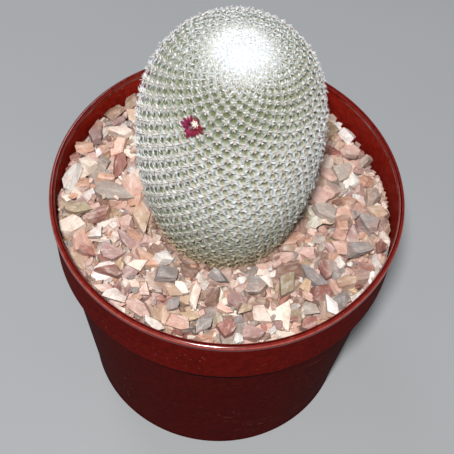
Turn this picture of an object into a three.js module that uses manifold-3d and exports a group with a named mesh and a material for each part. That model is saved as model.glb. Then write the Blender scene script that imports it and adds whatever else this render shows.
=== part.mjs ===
// A potted mammillaria: a short columnar cactus with combs of white spines and one small
// flower, standing in a round plastic pot whose soil is dressed with crushed stone.
//
// Millimetres, +Z up. The origin is the centre of the pot's underside, -Y faces the viewer
// and +X is the viewer's right. Turns round the stem count from -Y towards +X.
import * as THREE from 'three';
import { ConvexHull } from 'three/addons/math/ConvexHull.js';
import { mergeVertices } from 'three/addons/utils/BufferGeometryUtils.js';
import Module from 'manifold-3d';

const wasm = await Module();
wasm.setup();

// The air left between two pieces that touch on the real plant, and how far a body that
// cuts another runs past its surface.
const GAP = 0.3;
const OVERRUN = 1;
const MERGE_DISTANCE = 1e-5;

// The pot: a tapered body, a deep collar and a rounded lip.
const RIM_RADIUS = 70;
const POT_HEIGHT = 115;
const COLLAR_HEIGHT = 26.4;
const COLLAR_FOOT_RADIUS = 68.3;
const BODY_TOP_RADIUS = 65.8;
const BASE_RADIUS = 55;
const WALL = 1.5;
const LIP_HEIGHT = 2.6;
const LIP_WIDTH = 2.4;
const LIP_OVERHANG = 0.6;
const FOOT_RING_WIDTH = 5;
const FOOT_RING_HEIGHT = 3;
const FLOOR_THICKNESS = 2;
const EDGE_ROUND = 0.7;
const DRAIN_HOLES = 6;
const DRAIN_HOLE_RADIUS = 4.5;
const DRAIN_HOLE_SIDES = 8;
const DRAIN_CIRCLE_RADIUS = 38;
const POT_SEGMENTS = 38;

// The cactus, measured to the middle of its coat of spines. Its dome leans a little.
const STEM_X = -0.7;
const STEM_Y = -3;
const STEM_TOP = 206.6;
const STEM_WIDEST_HEIGHT = 155.8;
const STEM_WIDEST_RADIUS = 34.6;
const STEM_LOW_HEIGHT = 107.8;
const STEM_LOW_RADIUS = 27.5;
const SHOULDER_EXPONENT = 2.49;
const CROWN_EXPONENT = 2.97;
const DOME_LEAN_X = 2.6;
const DOME_LEAN_Y = -1.2;
const LOWEST_AREOLE_HEIGHT = 103.5;

// Areoles follow one spiral down from the growing point, which lies off the dome's middle.
// Each has its own share of the skin: small at the growing point, smaller again low down.
const GROWING_POINT_X = 0.63;
const GROWING_POINT_Y = -3.98;
const DIVERGENCE = THREE.MathUtils.degToRad(137.4977);
const SPIRAL_START = THREE.MathUtils.degToRad(13.02);
const SPIRAL_START_ARC = 60;
const SPIRAL_START_COUNT = 0.776;
const AREOLE_AREA = 24.12;
const CROWN_AREOLE_AREA = 8.5;
const LOW_AREOLE_AREA = 21;
const CROWN_GROWTH_LENGTH = 29;
const CROWN_GROWTH_POWER = 1.844;
const LOW_ZONE_START = 70;
const LOW_ZONE_LENGTH = 50;

// Tubercles stand TUBERCLE_DEPTH above the furrows, and spines rise above the tubercles.
const TUBERCLE_DEPTH = 2.1;
const TUBERCLE_PITCH = 5.2;
const SPINE_OVERHANG = 1;
const SPINE_RISE = 2.1;
const CROWN_SPINE_RISE = 3;
const CROWN_SPINE_LENGTH = 12;
const SPINE_REACH = 2.9;
const SPINE_PITCH_SHARE = 0.62;
const CROWN_RADIUS = 20;
const SPINE_BASE_RADIUS = 0.5;

// The neck of the plant, in the stones and the soil: radius and height of each ring.
const NECK_RINGS = [
  { radius: 22.4, height: 97, points: 20 },
  { radius: 20.6, height: 91, points: 18 },
  { radius: 14, height: 82, points: 12 },
  { radius: 8, height: 72, points: 8 },
  { radius: 4, height: 60, points: 6 },
];
const ROOT_TIP_HEIGHT = 58;
const NECK_SEGMENTS = 20;
const NECK_TWIST = 0.1;
const CLEARANCE_RINGS = 5;
const CLEARANCE_STEP = 5;

// The soil and the stones on it. Lengths of the stones are ranges to draw from.
const SOIL_TOP = 91;
const STONE_LEVEL_AT_STEM = 106;
const STONE_LEVEL_AT_WALL = 101;
const STONE_SLOPE = 4.5;
const STONE_HIGH_SIDE = THREE.MathUtils.degToRad(145);
const STONE_SEED = 11;
const STONE_COUNT = 80;
const STONE_FIVE_SIDED = 0.2;
const STONE_CORNER_SHAKE = 0.5;
const STONE_TURN = Math.PI * (3 - Math.sqrt(5));
const STONE_SHAKE = [-0.04, 0.04];
const STONE_LENGTH = [12, 17];
const STONE_WIDTH_SHARE = [0.62, 0.92];
const STONE_THICKNESS = [4.4, 6.4];
const STONE_TAPER = [0.72, 0.95];
const STONE_TILT = [-0.34, 0.34];
const STONE_RISE = [-0.2, 1];
const STONES_FROM_STEM = 2.5;
const STONES_FROM_WALL = 5.5;
const BED_DEPTH = 2.4;
const BED_ROUGHNESS = [-0.9, 0.9];
const BED_SPOKES = 16;

// Radii of the rough bed's rings: the first lies within the stem and the last past the wall.
const BED_RINGS = [19.5, 36, 52, 74];

// The flower sits in a furrow left of the front, just below the white crown.
const FLOWER_ANGLE = THREE.MathUtils.degToRad(-28);
const FLOWER_ARC = 33.5;
const FLOWER_RADIUS = 4.1;
const TUBE_SIDES = 10;
const TUBE_RADIUS = 1.3;
const TUBE_DEPTH = 3.6;
const MOUTH_RADIUS = 2.1;
const MOUTH_HEIGHT = 1.3;
const MOUTH_EDGE = 0.2;
const CUP_RADIUS = 1.5;
const CUP_FLOOR_RADIUS = 1.05;
const CUP_DEPTH = 1.1;
const TEPAL_THICKNESS = 0.6;
const TEPAL_ROOT_RADIUS = 1.3;
const TEPAL_STATIONS = [
  { reach: 0, width: 0.64 },
  { reach: 0.5, width: 1 },
];
const TEPAL_WHORLS = [
  { count: 8, length: 2.9, width: 1.7, height: 0.9, lift: 0.2, turn: 0.3 },
  { count: 6, length: 2.3, width: 1.4, height: 1.2, lift: 0.62, turn: 0.82 },
];

// The tuft in the flower: a column with a ring of anthers round its top.
const COLUMN_RADIUS = 0.75;
const COLUMN_TOP_RADIUS = 0.5;
const COLUMN_HEIGHT = 1.7;
const COLUMN_POINT = 0.3;
const ANTHERS = 8;
const ANTHER_RADIUS = 0.36;
const ANTHER_RING_RADIUS = 0.78;
const ANTHER_HEIGHTS = [1.1, 1.35];

const FINISH = {
  pot: { color: 0x7d2c20, roughness: 0.35 },
  soil: { color: 0x4a3a2e, roughness: 0.95 },
  stones: { color: 0xc9a594, roughness: 0.8 },
  cactus: { color: 0xb6b9a8, roughness: 0.7 },
  flower: { color: 0xa51e55, roughness: 0.6 },
  stamens: { color: 0xffebdc, roughness: 0.6 },
};

// Repeatable random numbers between 0 and 1.
function randomNumbers(seed) {
  let state = seed;
  return () => {
    state = (state + 0x6d2b79f5) | 0;
    let t = Math.imul(state ^ (state >>> 15), 1 | state);
    t = (t + Math.imul(t ^ (t >>> 7), 61 | t)) ^ t;
    return ((t ^ (t >>> 14)) >>> 0) / 2 ** 32;
  };
}

function between(random, [low, high]) {
  return low + (high - low) * random();
}

// Solids and booleans.
function toSolid(geometry) {
  const bare = geometry.index ? geometry.clone() : geometry;
  bare.deleteAttribute('normal');
  bare.deleteAttribute('uv');
  const merged = mergeVertices(bare, MERGE_DISTANCE);
  return new wasm.Manifold(new wasm.Mesh({
    numProp: 3,
    vertProperties: new Float32Array(merged.attributes.position.array),
    triVerts: new Uint32Array(merged.index.array),
  }));
}

function toGeometry(solid) {
  const mesh = solid.getMesh();
  const geometry = new THREE.BufferGeometry();
  geometry.setAttribute('position', new THREE.BufferAttribute(mesh.vertProperties, 3));
  geometry.setIndex(new THREE.BufferAttribute(mesh.triVerts, 1));
  return geometry;
}

function closedGeometry(points, triangles) {
  const geometry = new THREE.BufferGeometry().setFromPoints(points);
  geometry.setIndex(triangles.flat());
  return geometry;
}

// The triangles of the convex hull, as indices into the points.
function hullTriangles(points) {
  const order = new Map(points.map((point, i) => [point, i]));
  const hull = new ConvexHull().setFromPoints(points);
  return hull.faces.map((face) => [0, 1, 2].map((i) => order.get(face.getEdge(i).head().point)));
}

// A body of revolution about Z. The profile runs up the outside, from axis to axis.
function turned(profile, segments) {
  const points = profile.map(([radius, height]) => new THREE.Vector2(radius, height));
  return new THREE.LatheGeometry(points, segments).rotateX(Math.PI / 2);
}

// The pot.
const COLLAR_FOOT = POT_HEIGHT - COLLAR_HEIGHT;
const INSIDE_FLOOR = FOOT_RING_HEIGHT + FLOOR_THICKNESS;
const COLLAR_TOP_RADIUS = RIM_RADIUS - LIP_OVERHANG;
const FLOOR_RADIUS = THREE.MathUtils.lerp(BASE_RADIUS, BODY_TOP_RADIUS, INSIDE_FLOOR / COLLAR_FOOT) - WALL;

const POT_INSIDE = [
  [COLLAR_TOP_RADIUS - WALL, POT_HEIGHT - LIP_HEIGHT],
  [COLLAR_FOOT_RADIUS - WALL, COLLAR_FOOT + WALL],
  [BODY_TOP_RADIUS - WALL, COLLAR_FOOT - WALL],
  [FLOOR_RADIUS, INSIDE_FLOOR],
];

function makePot() {
  const wall = turned([
    [0, FOOT_RING_HEIGHT],
    [BASE_RADIUS - FOOT_RING_WIDTH - EDGE_ROUND, FOOT_RING_HEIGHT],
    [BASE_RADIUS - FOOT_RING_WIDTH, 0],
    [BASE_RADIUS - EDGE_ROUND, 0],
    [BASE_RADIUS, EDGE_ROUND],
    [BODY_TOP_RADIUS, COLLAR_FOOT],
    [COLLAR_FOOT_RADIUS, COLLAR_FOOT],
    [COLLAR_TOP_RADIUS, POT_HEIGHT - LIP_HEIGHT],
    [RIM_RADIUS, POT_HEIGHT - LIP_HEIGHT + EDGE_ROUND],
    [RIM_RADIUS, POT_HEIGHT - EDGE_ROUND],
    [RIM_RADIUS - EDGE_ROUND, POT_HEIGHT],
    [RIM_RADIUS - LIP_WIDTH + EDGE_ROUND, POT_HEIGHT],
    [RIM_RADIUS - LIP_WIDTH, POT_HEIGHT - EDGE_ROUND],
    ...POT_INSIDE,
    [0, INSIDE_FLOOR],
  ], POT_SEGMENTS);
  let pot = toSolid(wall);
  for (let hole = 0; hole < DRAIN_HOLES; hole++) {
    const turn = (hole / DRAIN_HOLES) * 2 * Math.PI;
    const depth = 2 * (INSIDE_FLOOR + OVERRUN);
    const drill = new THREE.CylinderGeometry(DRAIN_HOLE_RADIUS, DRAIN_HOLE_RADIUS, depth, DRAIN_HOLE_SIDES)
      .rotateX(Math.PI / 2)
      .translate(DRAIN_CIRCLE_RADIUS, 0, 0)
      .rotateZ(turn);
    pot = pot.subtract(toSolid(drill));
  }
  return toGeometry(pot);
}

// The space inside the pot, GAP clear of its wall, from one height up to another.
function potFilling(bottom, top) {
  const wallRadius = (height) => {
    const below = POT_INSIDE.findIndex(([, level]) => level <= height);
    const [lowRadius, low] = POT_INSIDE[below];
    const [highRadius, high] = POT_INSIDE[Math.max(below - 1, 0)];
    const share = high > low ? (height - low) / (high - low) : 0;
    return THREE.MathUtils.lerp(lowRadius, highRadius, share) - GAP;
  };
  const bends = POT_INSIDE.map(([, level]) => level).filter((level) => level > bottom && level < top);
  const heights = [bottom, ...bends.reverse(), top];
  const side = heights.map((height) => [wallRadius(height), height]);
  return toSolid(turned([[0, bottom], ...side, [0, top]], POT_SEGMENTS));
}

// The area that each areole has, a distance down from the growing point.
function areoleArea(arc) {
  const grown = 1 - Math.exp(-((arc / CROWN_GROWTH_LENGTH) ** CROWN_GROWTH_POWER));
  const low = THREE.MathUtils.smoothstep(arc, LOW_ZONE_START, LOW_ZONE_START + LOW_ZONE_LENGTH);
  return Math.max(CROWN_AREOLE_AREA, AREOLE_AREA * grown) + (LOW_AREOLE_AREA - AREOLE_AREA) * low;
}

// The radius of the stem at a height below its widest place.
function lowStemRadius(height) {
  const drop = (STEM_WIDEST_HEIGHT - height) / (STEM_WIDEST_HEIGHT - STEM_LOW_HEIGHT);
  return STEM_WIDEST_RADIUS - (STEM_WIDEST_RADIUS - STEM_LOW_RADIUS) * drop ** 2;
}

// The stem's outline from its top down: at each step the radius, the height, the outward
// normal, the distance along the surface (arc), the areoles passed (count) and how far a
// map without change of angles has spread (spread).
function stemOutline(steps) {
  const points = [];
  for (let i = 1; i <= steps; i++) {
    const rise = Math.cos((i / steps) * Math.PI / 2);
    const radius = STEM_WIDEST_RADIUS * (1 - rise ** SHOULDER_EXPONENT) ** (1 / CROWN_EXPONENT);
    points.push([radius, THREE.MathUtils.lerp(STEM_WIDEST_HEIGHT, STEM_TOP, rise)]);
  }
  for (let i = 1; i <= steps; i++) {
    const height = THREE.MathUtils.lerp(STEM_WIDEST_HEIGHT, LOWEST_AREOLE_HEIGHT, i / steps);
    points.push([lowStemRadius(height), height]);
  }
  const outline = [];
  let arc = points[0][0];
  let count = 0;
  let spread = 0;
  for (const [i, [radius, height]] of points.entries()) {
    const [lastRadius, lastHeight] = points[Math.max(i - 1, 0)];
    const [nextRadius, nextHeight] = points[Math.min(i + 1, points.length - 1)];
    const step = Math.hypot(radius - lastRadius, height - lastHeight);
    arc += step;
    count += Math.PI * (radius + lastRadius) * step / areoleArea(arc - step / 2);
    spread += 2 * step / (radius + lastRadius);
    const out = new THREE.Vector2(lastHeight - nextHeight, nextRadius - lastRadius).normalize();
    outline.push({ radius, height, outX: out.x, outZ: out.y, arc, count, spread });
  }
  return outline;
}

const OUTLINE_STEPS = 600;
const OUTLINE = stemOutline(OUTLINE_STEPS);
const DOME_OUTLINE = OUTLINE.slice(0, OUTLINE_STEPS);

// Reads an outline where one of its values, which grows downwards, reaches an amount.
function readOutline(outline, name, amount) {
  let low = 0;
  let high = outline.length - 1;
  while (high - low > 1) {
    const middle = (low + high) >> 1;
    if (outline[middle][name] <= amount) low = middle;
    else high = middle;
  }
  const a = outline[low];
  const b = outline[high];
  const share = THREE.MathUtils.clamp((amount - a[name]) / (b[name] - a[name]), 0, 1);
  const reading = {};
  for (const key of Object.keys(a)) reading[key] = THREE.MathUtils.lerp(a[key], b[key], share);
  return reading;
}

// How far up the dome a height is, from 0 at the widest place to 1 at the top.
function domeShare(height) {
  const rise = (height - STEM_WIDEST_HEIGHT) / (STEM_TOP - STEM_WIDEST_HEIGHT);
  return Math.max(0, rise) ** 2;
}

// Moves a place of the regular spiral to where the growing point draws it on the dome.
function drawnPlace(arc, turn) {
  const at = readOutline(OUTLINE, 'arc', Math.max(arc, OUTLINE[0].arc));
  const share = domeShare(at.height);
  if (share === 0) return { arc, turn };
  const x = at.radius * Math.sin(turn) + GROWING_POINT_X * share;
  const y = -at.radius * Math.cos(turn) + GROWING_POINT_Y * share;
  const moved = readOutline(DOME_OUTLINE, 'radius', Math.hypot(x, y));
  return { arc: moved.arc, turn: Math.atan2(x, -y) };
}

// A point of the stem, a depth below the middle of the coat of spines.
function stemPoint({ arc, turn }, depth) {
  const at = readOutline(OUTLINE, 'arc', arc);
  const radius = at.radius - at.outX * depth;
  const share = domeShare(at.height);
  return new THREE.Vector3(
    STEM_X + DOME_LEAN_X * share + radius * Math.sin(turn),
    STEM_Y + DOME_LEAN_Y * share - radius * Math.cos(turn),
    at.height - at.outZ * depth,
  );
}

function stemNormal({ arc, turn }) {
  const at = readOutline(OUTLINE, 'arc', arc);
  return new THREE.Vector3(at.outX * Math.sin(turn), -at.outX * Math.cos(turn), at.outZ).normalize();
}

function tubercleDepth(arc) {
  const crown = Math.exp(-((arc / CROWN_SPINE_LENGTH) ** 2));
  return THREE.MathUtils.lerp(SPINE_RISE, CROWN_SPINE_RISE, crown) - SPINE_OVERHANG;
}

// All areoles of the spiral, from the growing point down.
function areoleSpiral() {
  const start = readOutline(OUTLINE, 'arc', SPIRAL_START_ARC).count + SPIRAL_START_COUNT;
  const first = Math.ceil(OUTLINE[0].count - start);
  const last = Math.floor(OUTLINE.at(-1).count - start);
  const areoles = [];
  for (let index = first; index <= last; index++) {
    const { arc } = readOutline(OUTLINE, 'count', start + index);
    const turn = SPIRAL_START + index * DIVERGENCE;
    areoles.push({ index, arc, turn, place: drawnPlace(arc, turn) });
  }
  return areoles;
}

// Triangles between points of the stem. The surface is mapped onto a sphere without a
// change of angles, where the convex hull joins each point to its nearest neighbours.
function stemTriangles(areoles) {
  const middle = readOutline(OUTLINE, 'arc', SPIRAL_START_ARC).spread;
  const onSphere = (spread, turn) => {
    const polar = 2 * Math.atan(Math.exp(spread - middle));
    const radius = Math.sin(polar);
    return new THREE.Vector3(radius * Math.sin(turn), -radius * Math.cos(turn), Math.cos(polar));
  };
  const points = areoles.map(({ place }) => {
    const { spread } = readOutline(OUTLINE, 'arc', place.arc);
    return onSphere(spread, place.turn);
  });
  let last = OUTLINE.at(-1);
  let spread = last.spread;
  for (const ring of NECK_RINGS) {
    const step = Math.hypot(ring.radius - last.radius, ring.height - last.height);
    spread += 2 * step / (ring.radius + last.radius);
    points.push(...neckTurns(ring).map((turn) => onSphere(spread, turn)));
    last = ring;
  }
  points.push(new THREE.Vector3(0, 0, -1));
  return hullTriangles(points);
}

// The corners of a ring round the neck. Rings of different height are turned a little.
function neckTurns(ring) {
  const first = ring.height * NECK_TWIST;
  return Array.from({ length: ring.points }, (_, i) => ((i + first) / ring.points) * 2 * Math.PI);
}

function neckPoints() {
  const points = NECK_RINGS.flatMap((ring) => neckTurns(ring).map((turn) => new THREE.Vector3(
    STEM_X + ring.radius * Math.sin(turn),
    STEM_Y - ring.radius * Math.cos(turn),
    ring.height,
  )));
  return [...points, new THREE.Vector3(STEM_X, STEM_Y, ROOT_TIP_HEIGHT)];
}

const edgeKey = (a, b) => `${a},${b}`;

// Adds a furrow point on the side of each triangle that spans most turns of the spiral, so
// that each areole stands on a four-sided tubercle.
function cutFurrows(points, triangles, isAreole, inward) {
  const widest = (triangle) => {
    const spans = triangle.map((a, i) => Math.abs(a - triangle[(i + 1) % 3]));
    return spans.indexOf(Math.max(...spans));
  };
  const owner = new Map();
  triangles.forEach((triangle, t) => {
    triangle.forEach((a, i) => owner.set(edgeKey(a, triangle[(i + 1) % 3]), t));
  });
  const side = triangles.map((triangle) => (triangle.every(isAreole) ? widest(triangle) : -1));
  const furrowOf = new Map();
  const result = [];
  triangles.forEach((triangle, t) => {
    if (side[t] < 0) {
      result.push(triangle);
      return;
    }
    const a = triangle[side[t]];
    const b = triangle[(side[t] + 1) % 3];
    const c = triangle[(side[t] + 2) % 3];
    const other = owner.get(edgeKey(b, a));
    const shared = side[other] >= 0 && triangles[other][side[other]] === b;
    const key = shared ? edgeKey(Math.min(a, b), Math.max(a, b)) : edgeKey(t, 'middle');
    if (!furrowOf.has(key)) {
      furrowOf.set(key, points.length);
      const corners = shared ? [a, b] : [a, b, c];
      const furrow = new THREE.Vector3();
      const down = new THREE.Vector3();
      for (const corner of corners) {
        furrow.addScaledVector(points[corner], 1 / corners.length);
        down.add(inward[corner]);
      }
      const width = Math.min(1, points[a].distanceTo(points[b]) / TUBERCLE_PITCH);
      points.push(furrow.addScaledVector(down.normalize(), TUBERCLE_DEPTH * width));
    }
    const furrow = furrowOf.get(key);
    result.push([a, furrow, c], [furrow, b, c]);
    if (!shared) result.push([a, b, furrow]);
  });
  return result;
}

// Opens each areole that bears a spine into a ring of three corners and draws the ring
// out to a point. Every triangle is joined to the ring corner that lies on its side.
function raiseSpines(points, triangles, spines) {
  const corners = 3;
  const ringOf = new Map();
  for (const [areole, { tip, along, across }] of spines) {
    const start = points.length;
    for (let i = 0; i < corners; i++) {
      const turn = (i / corners) * 2 * Math.PI;
      points.push(points[areole].clone()
        .addScaledVector(along, SPINE_BASE_RADIUS * Math.cos(turn))
        .addScaledVector(across, SPINE_BASE_RADIUS * Math.sin(turn)));
    }
    ringOf.set(areole, start);
    points.push(tip);
  }
  const result = [];
  for (const start of ringOf.values()) {
    for (let i = 0; i < corners; i++) {
      result.push([start + i, start + ((i + 1) % corners), start + corners]);
    }
  }
  const choice = new Map();
  const owner = new Map();
  triangles.forEach((triangle, t) => {
    const centre = new THREE.Vector3();
    triangle.forEach((corner) => centre.addScaledVector(points[corner], 1 / 3));
    const placed = triangle.map((corner, i) => {
      owner.set(edgeKey(corner, triangle[(i + 1) % 3]), t);
      if (!ringOf.has(corner)) return corner;
      const { along, across } = spines.get(corner);
      const way = centre.clone().sub(points[corner]);
      const turn = Math.atan2(way.dot(across), way.dot(along)) / (2 * Math.PI);
      const pick = Math.round((turn + 1) * corners) % corners;
      choice.set(edgeKey(t, corner), pick);
      return ringOf.get(corner) + pick;
    });
    result.push(placed);
  });
  // The ring corners passed on the way from one triangle to the next round an areole.
  const chain = (corner, from, to) => {
    if (!ringOf.has(corner)) return [corner];
    const first = choice.get(edgeKey(from, corner));
    const steps = (choice.get(edgeKey(to, corner)) - first + corners) % corners;
    return Array.from({ length: steps + 1 }, (_, i) => ringOf.get(corner) + ((first + i) % corners));
  };
  for (const [key, left] of owner) {
    const [a, b] = key.split(',').map(Number);
    if (a > b) continue;
    const right = owner.get(edgeKey(b, a));
    const seam = [...chain(a, right, left).reverse(), ...chain(b, left, right).reverse()];
    for (let i = 1; i + 1 < seam.length; i++) {
      result.push([seam[0], seam[i], seam[i + 1]]);
    }
  }
  return result;
}

// Where the flower stands: the base of its tube, level with the tops of the tubercles.
function flowerFrame() {
  const place = { arc: FLOWER_ARC, turn: FLOWER_ANGLE };
  const out = stemNormal(place);
  const across = new THREE.Vector3(Math.cos(FLOWER_ANGLE), Math.sin(FLOWER_ANGLE), 0);
  const up = new THREE.Vector3().crossVectors(out, across);
  const origin = stemPoint(place, tubercleDepth(FLOWER_ARC));
  return new THREE.Matrix4().makeBasis(across, up, out).setPosition(origin);
}

const FLOWER_FRAME = flowerFrame();

// The flower's tube, made wider by a margin where it is used to cut its own socket.
function flowerTube(margin, edge) {
  return toSolid(turned([
    [0, -TUBE_DEPTH - margin],
    [TUBE_RADIUS + margin, -TUBE_DEPTH - margin],
    [TUBE_RADIUS + margin, -MOUTH_HEIGHT],
    [MOUTH_RADIUS + margin, MOUTH_HEIGHT - MOUTH_EDGE],
    [MOUTH_RADIUS + margin, MOUTH_HEIGHT - MOUTH_EDGE + edge],
    [0, MOUTH_HEIGHT - MOUTH_EDGE + edge],
  ], TUBE_SIDES));
}

function inFlowerFrame(geometry) {
  return geometry.applyMatrix4(FLOWER_FRAME);
}

// The spine of an areole. On the sides spines lie to the left and right by turns, as combs
// do, and on the crown they lean in over the growing point.
function makeSpine({ index, arc, turn, place }, base) {
  const reach = Math.min(SPINE_REACH, SPINE_PITCH_SHARE * Math.sqrt(areoleArea(arc)));
  const crown = THREE.MathUtils.smoothstep(CROWN_RADIUS - arc, 0, CROWN_RADIUS);
  const side = (index % 2 ? 1 : -1) * (1 - crown);
  const { radius } = readOutline(OUTLINE, 'arc', arc);
  const tipPlace = drawnPlace(arc - reach * crown, turn + side * Math.min(1, reach / radius));
  const tip = stemPoint(tipPlace, -SPINE_OVERHANG);
  const out = stemNormal(place);
  const along = tip.clone().sub(base).projectOnPlane(out).normalize();
  return { tip, along, across: out.cross(along) };
}

function makeStem() {
  const areoles = areoleSpiral();
  const points = areoles.map(({ place }) => stemPoint(place, tubercleDepth(place.arc)));
  const inward = areoles.map(({ place }) => stemNormal(place).negate());
  points.push(...neckPoints());
  const isAreole = (point) => point < areoles.length;
  const triangles = cutFurrows(points, stemTriangles(areoles), isAreole, inward);

  const flowerCentre = new THREE.Vector3().setFromMatrixPosition(FLOWER_FRAME);
  const spines = new Map();
  for (const [point, areole] of areoles.entries()) {
    const spine = makeSpine(areole, points[point]);
    const clear = Math.min(spine.tip.distanceTo(flowerCentre), points[point].distanceTo(flowerCentre));
    if (clear > FLOWER_RADIUS + GAP) spines.set(point, spine);
  }
  const skin = closedGeometry(points, raiseSpines(points, triangles, spines));
  const socket = toSolid(inFlowerFrame(toGeometry(flowerTube(GAP, FLOWER_RADIUS))));
  return toGeometry(toSolid(skin).subtract(socket));
}

// The soil, with a plain hole for the neck of the plant.
function neckHole() {
  const rings = NECK_RINGS.filter((ring) => ring.height <= SOIL_TOP).reverse();
  const top = rings.at(-1);
  return toSolid(turned([
    [0, ROOT_TIP_HEIGHT - GAP],
    ...rings.map((ring) => [ring.radius + 2 * GAP, ring.height]),
    [top.radius + 2 * GAP, top.height + OVERRUN],
    [0, top.height + OVERRUN],
  ], NECK_SEGMENTS).translate(STEM_X, STEM_Y, 0));
}

function makeSoil() {
  return toGeometry(potFilling(INSIDE_FLOOR + GAP, SOIL_TOP).subtract(neckHole()));
}

// The space that the spines and the neck take up, where no stone may reach.
function stemClearance() {
  const side = Array.from({ length: CLEARANCE_RINGS }, (_, i) => {
    const height = LOWEST_AREOLE_HEIGHT + i * CLEARANCE_STEP;
    return [lowStemRadius(height) + SPINE_OVERHANG + 2 * GAP, height];
  });
  const neck = NECK_RINGS[0];
  return toSolid(turned([
    [0, SOIL_TOP - OVERRUN],
    [neck.radius + 2 * GAP, SOIL_TOP - OVERRUN],
    [neck.radius + 2 * GAP, neck.height],
    ...side,
    [0, side.at(-1)[1]],
  ], NECK_SEGMENTS).translate(STEM_X, STEM_Y, 0));
}

// How high the stones lie: heaped against the stem and higher at the back left.
function stoneLevel(x, y) {
  const fromStem = Math.hypot(x - STEM_X, y - STEM_Y);
  const outward = THREE.MathUtils.clamp((fromStem - STEM_LOW_RADIUS) / (RIM_RADIUS - STEM_LOW_RADIUS), 0, 1);
  const slope = STONE_SLOPE * Math.cos(Math.atan2(y, x) - STONE_HIGH_SIDE) * outward;
  return THREE.MathUtils.lerp(STONE_LEVEL_AT_STEM, STONE_LEVEL_AT_WALL, outward) + slope;
}

// The lower stones, packed together as one rough ring under those that show whole.
function stoneBed(random) {
  const points = [];
  for (const top of [false, true]) {
    for (const radius of BED_RINGS) {
      for (let i = 0; i < BED_SPOKES; i++) {
        const turn = (i / BED_SPOKES) * 2 * Math.PI;
        const x = STEM_X + radius * Math.cos(turn);
        const y = STEM_Y + radius * Math.sin(turn);
        const level = stoneLevel(x, y) - BED_DEPTH + between(random, BED_ROUGHNESS);
        points.push(new THREE.Vector3(x, y, top ? level : SOIL_TOP + GAP));
      }
    }
  }
  const outer = BED_RINGS.length - 1;
  const below = (ring, i) => ring * BED_SPOKES + (i % BED_SPOKES);
  const above = (ring, i) => below(ring + BED_RINGS.length, i);
  const triangles = [];
  const quad = (a, b, c, d) => triangles.push([a, b, c], [a, c, d]);
  for (let i = 0; i < BED_SPOKES; i++) {
    for (let ring = 0; ring < outer; ring++) {
      quad(above(ring, i), above(ring + 1, i), above(ring + 1, i + 1), above(ring, i + 1));
      quad(below(ring, i), below(ring, i + 1), below(ring + 1, i + 1), below(ring + 1, i));
    }
    quad(below(outer, i), below(outer, i + 1), above(outer, i + 1), above(outer, i));
    quad(below(0, i + 1), below(0, i), above(0, i), above(0, i + 1));
  }
  return toSolid(closedGeometry(points, triangles));
}

// One angular stone: a flat prism of four or five corners, no two of them alike.
function makeStone(random) {
  const corners = random() < STONE_FIVE_SIDED ? 5 : 4;
  const length = between(random, STONE_LENGTH);
  const width = length * between(random, STONE_WIDTH_SHARE);
  const thickness = between(random, STONE_THICKNESS);
  const points = [];
  const taper = between(random, STONE_TAPER);
  for (const level of [-1, 1]) {
    for (let i = 0; i < corners; i++) {
      const turn = ((i + STONE_CORNER_SHAKE * random()) / corners) * 2 * Math.PI;
      const scale = level > 0 ? taper : 1;
      points.push(new THREE.Vector3(
        0.5 * length * scale * Math.cos(turn),
        0.5 * width * scale * Math.sin(turn),
        0.5 * level * thickness,
      ));
    }
  }
  return closedGeometry(points, hullTriangles(points));
}

// The stones that show whole, spread evenly by the golden angle and then shaken.
function makeStones() {
  const random = randomNumbers(STONE_SEED);
  const innerRadius = STEM_LOW_RADIUS + STONES_FROM_STEM;
  const outerRadius = COLLAR_FOOT_RADIUS - STONES_FROM_WALL;
  let stones = stoneBed(random);
  for (let i = 0; i < STONE_COUNT; i++) {
    const share = (i + 0.5) / STONE_COUNT;
    const radius = Math.sqrt(THREE.MathUtils.lerp(innerRadius ** 2, outerRadius ** 2, share));
    const turn = i * STONE_TURN + between(random, STONE_SHAKE);
    const x = radius * Math.cos(turn) + STEM_X * (1 - share);
    const y = radius * Math.sin(turn) + STEM_Y * (1 - share);
    const lie = new THREE.Matrix4().makeRotationFromEuler(new THREE.Euler(
      between(random, STONE_TILT),
      between(random, STONE_TILT),
      2 * Math.PI * random(),
      'ZXY',
    ));
    const stone = makeStone(random)
      .applyMatrix4(lie)
      .translate(x, y, stoneLevel(x, y) - BED_DEPTH + between(random, STONE_RISE));
    stones = stones.add(toSolid(stone));
  }
  const room = potFilling(SOIL_TOP + GAP, POT_HEIGHT - LIP_HEIGHT);
  const pieces = stones.intersect(room).subtract(stemClearance()).decompose();
  pieces.sort((a, b) => b.volume() - a.volume());
  return toGeometry(pieces[0]);
}

// One tepal: a pointed blade from the mouth of the tube outwards.
function makeTepal({ length, width, height, lift }, turn) {
  const points = [];
  for (const station of TEPAL_STATIONS) {
    for (const [side, face] of [[-1, -1], [1, -1], [1, 1], [-1, 1]]) {
      points.push(new THREE.Vector3(
        station.reach * length,
        0.5 * side * station.width * width,
        0.5 * face * TEPAL_THICKNESS,
      ));
    }
  }
  points.push(new THREE.Vector3(length, 0, 0));
  const tip = points.length - 1;
  const triangles = [[0, 2, 1], [0, 3, 2]];
  for (let i = 0; i < 4; i++) {
    const next = (i + 1) % 4;
    triangles.push([i, next, next + 4], [i, next + 4, i + 4], [i + 4, next + 4, tip]);
  }
  return closedGeometry(points, triangles)
    .rotateY(-lift)
    .translate(TEPAL_ROOT_RADIUS, 0, height)
    .rotateZ(turn);
}

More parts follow.
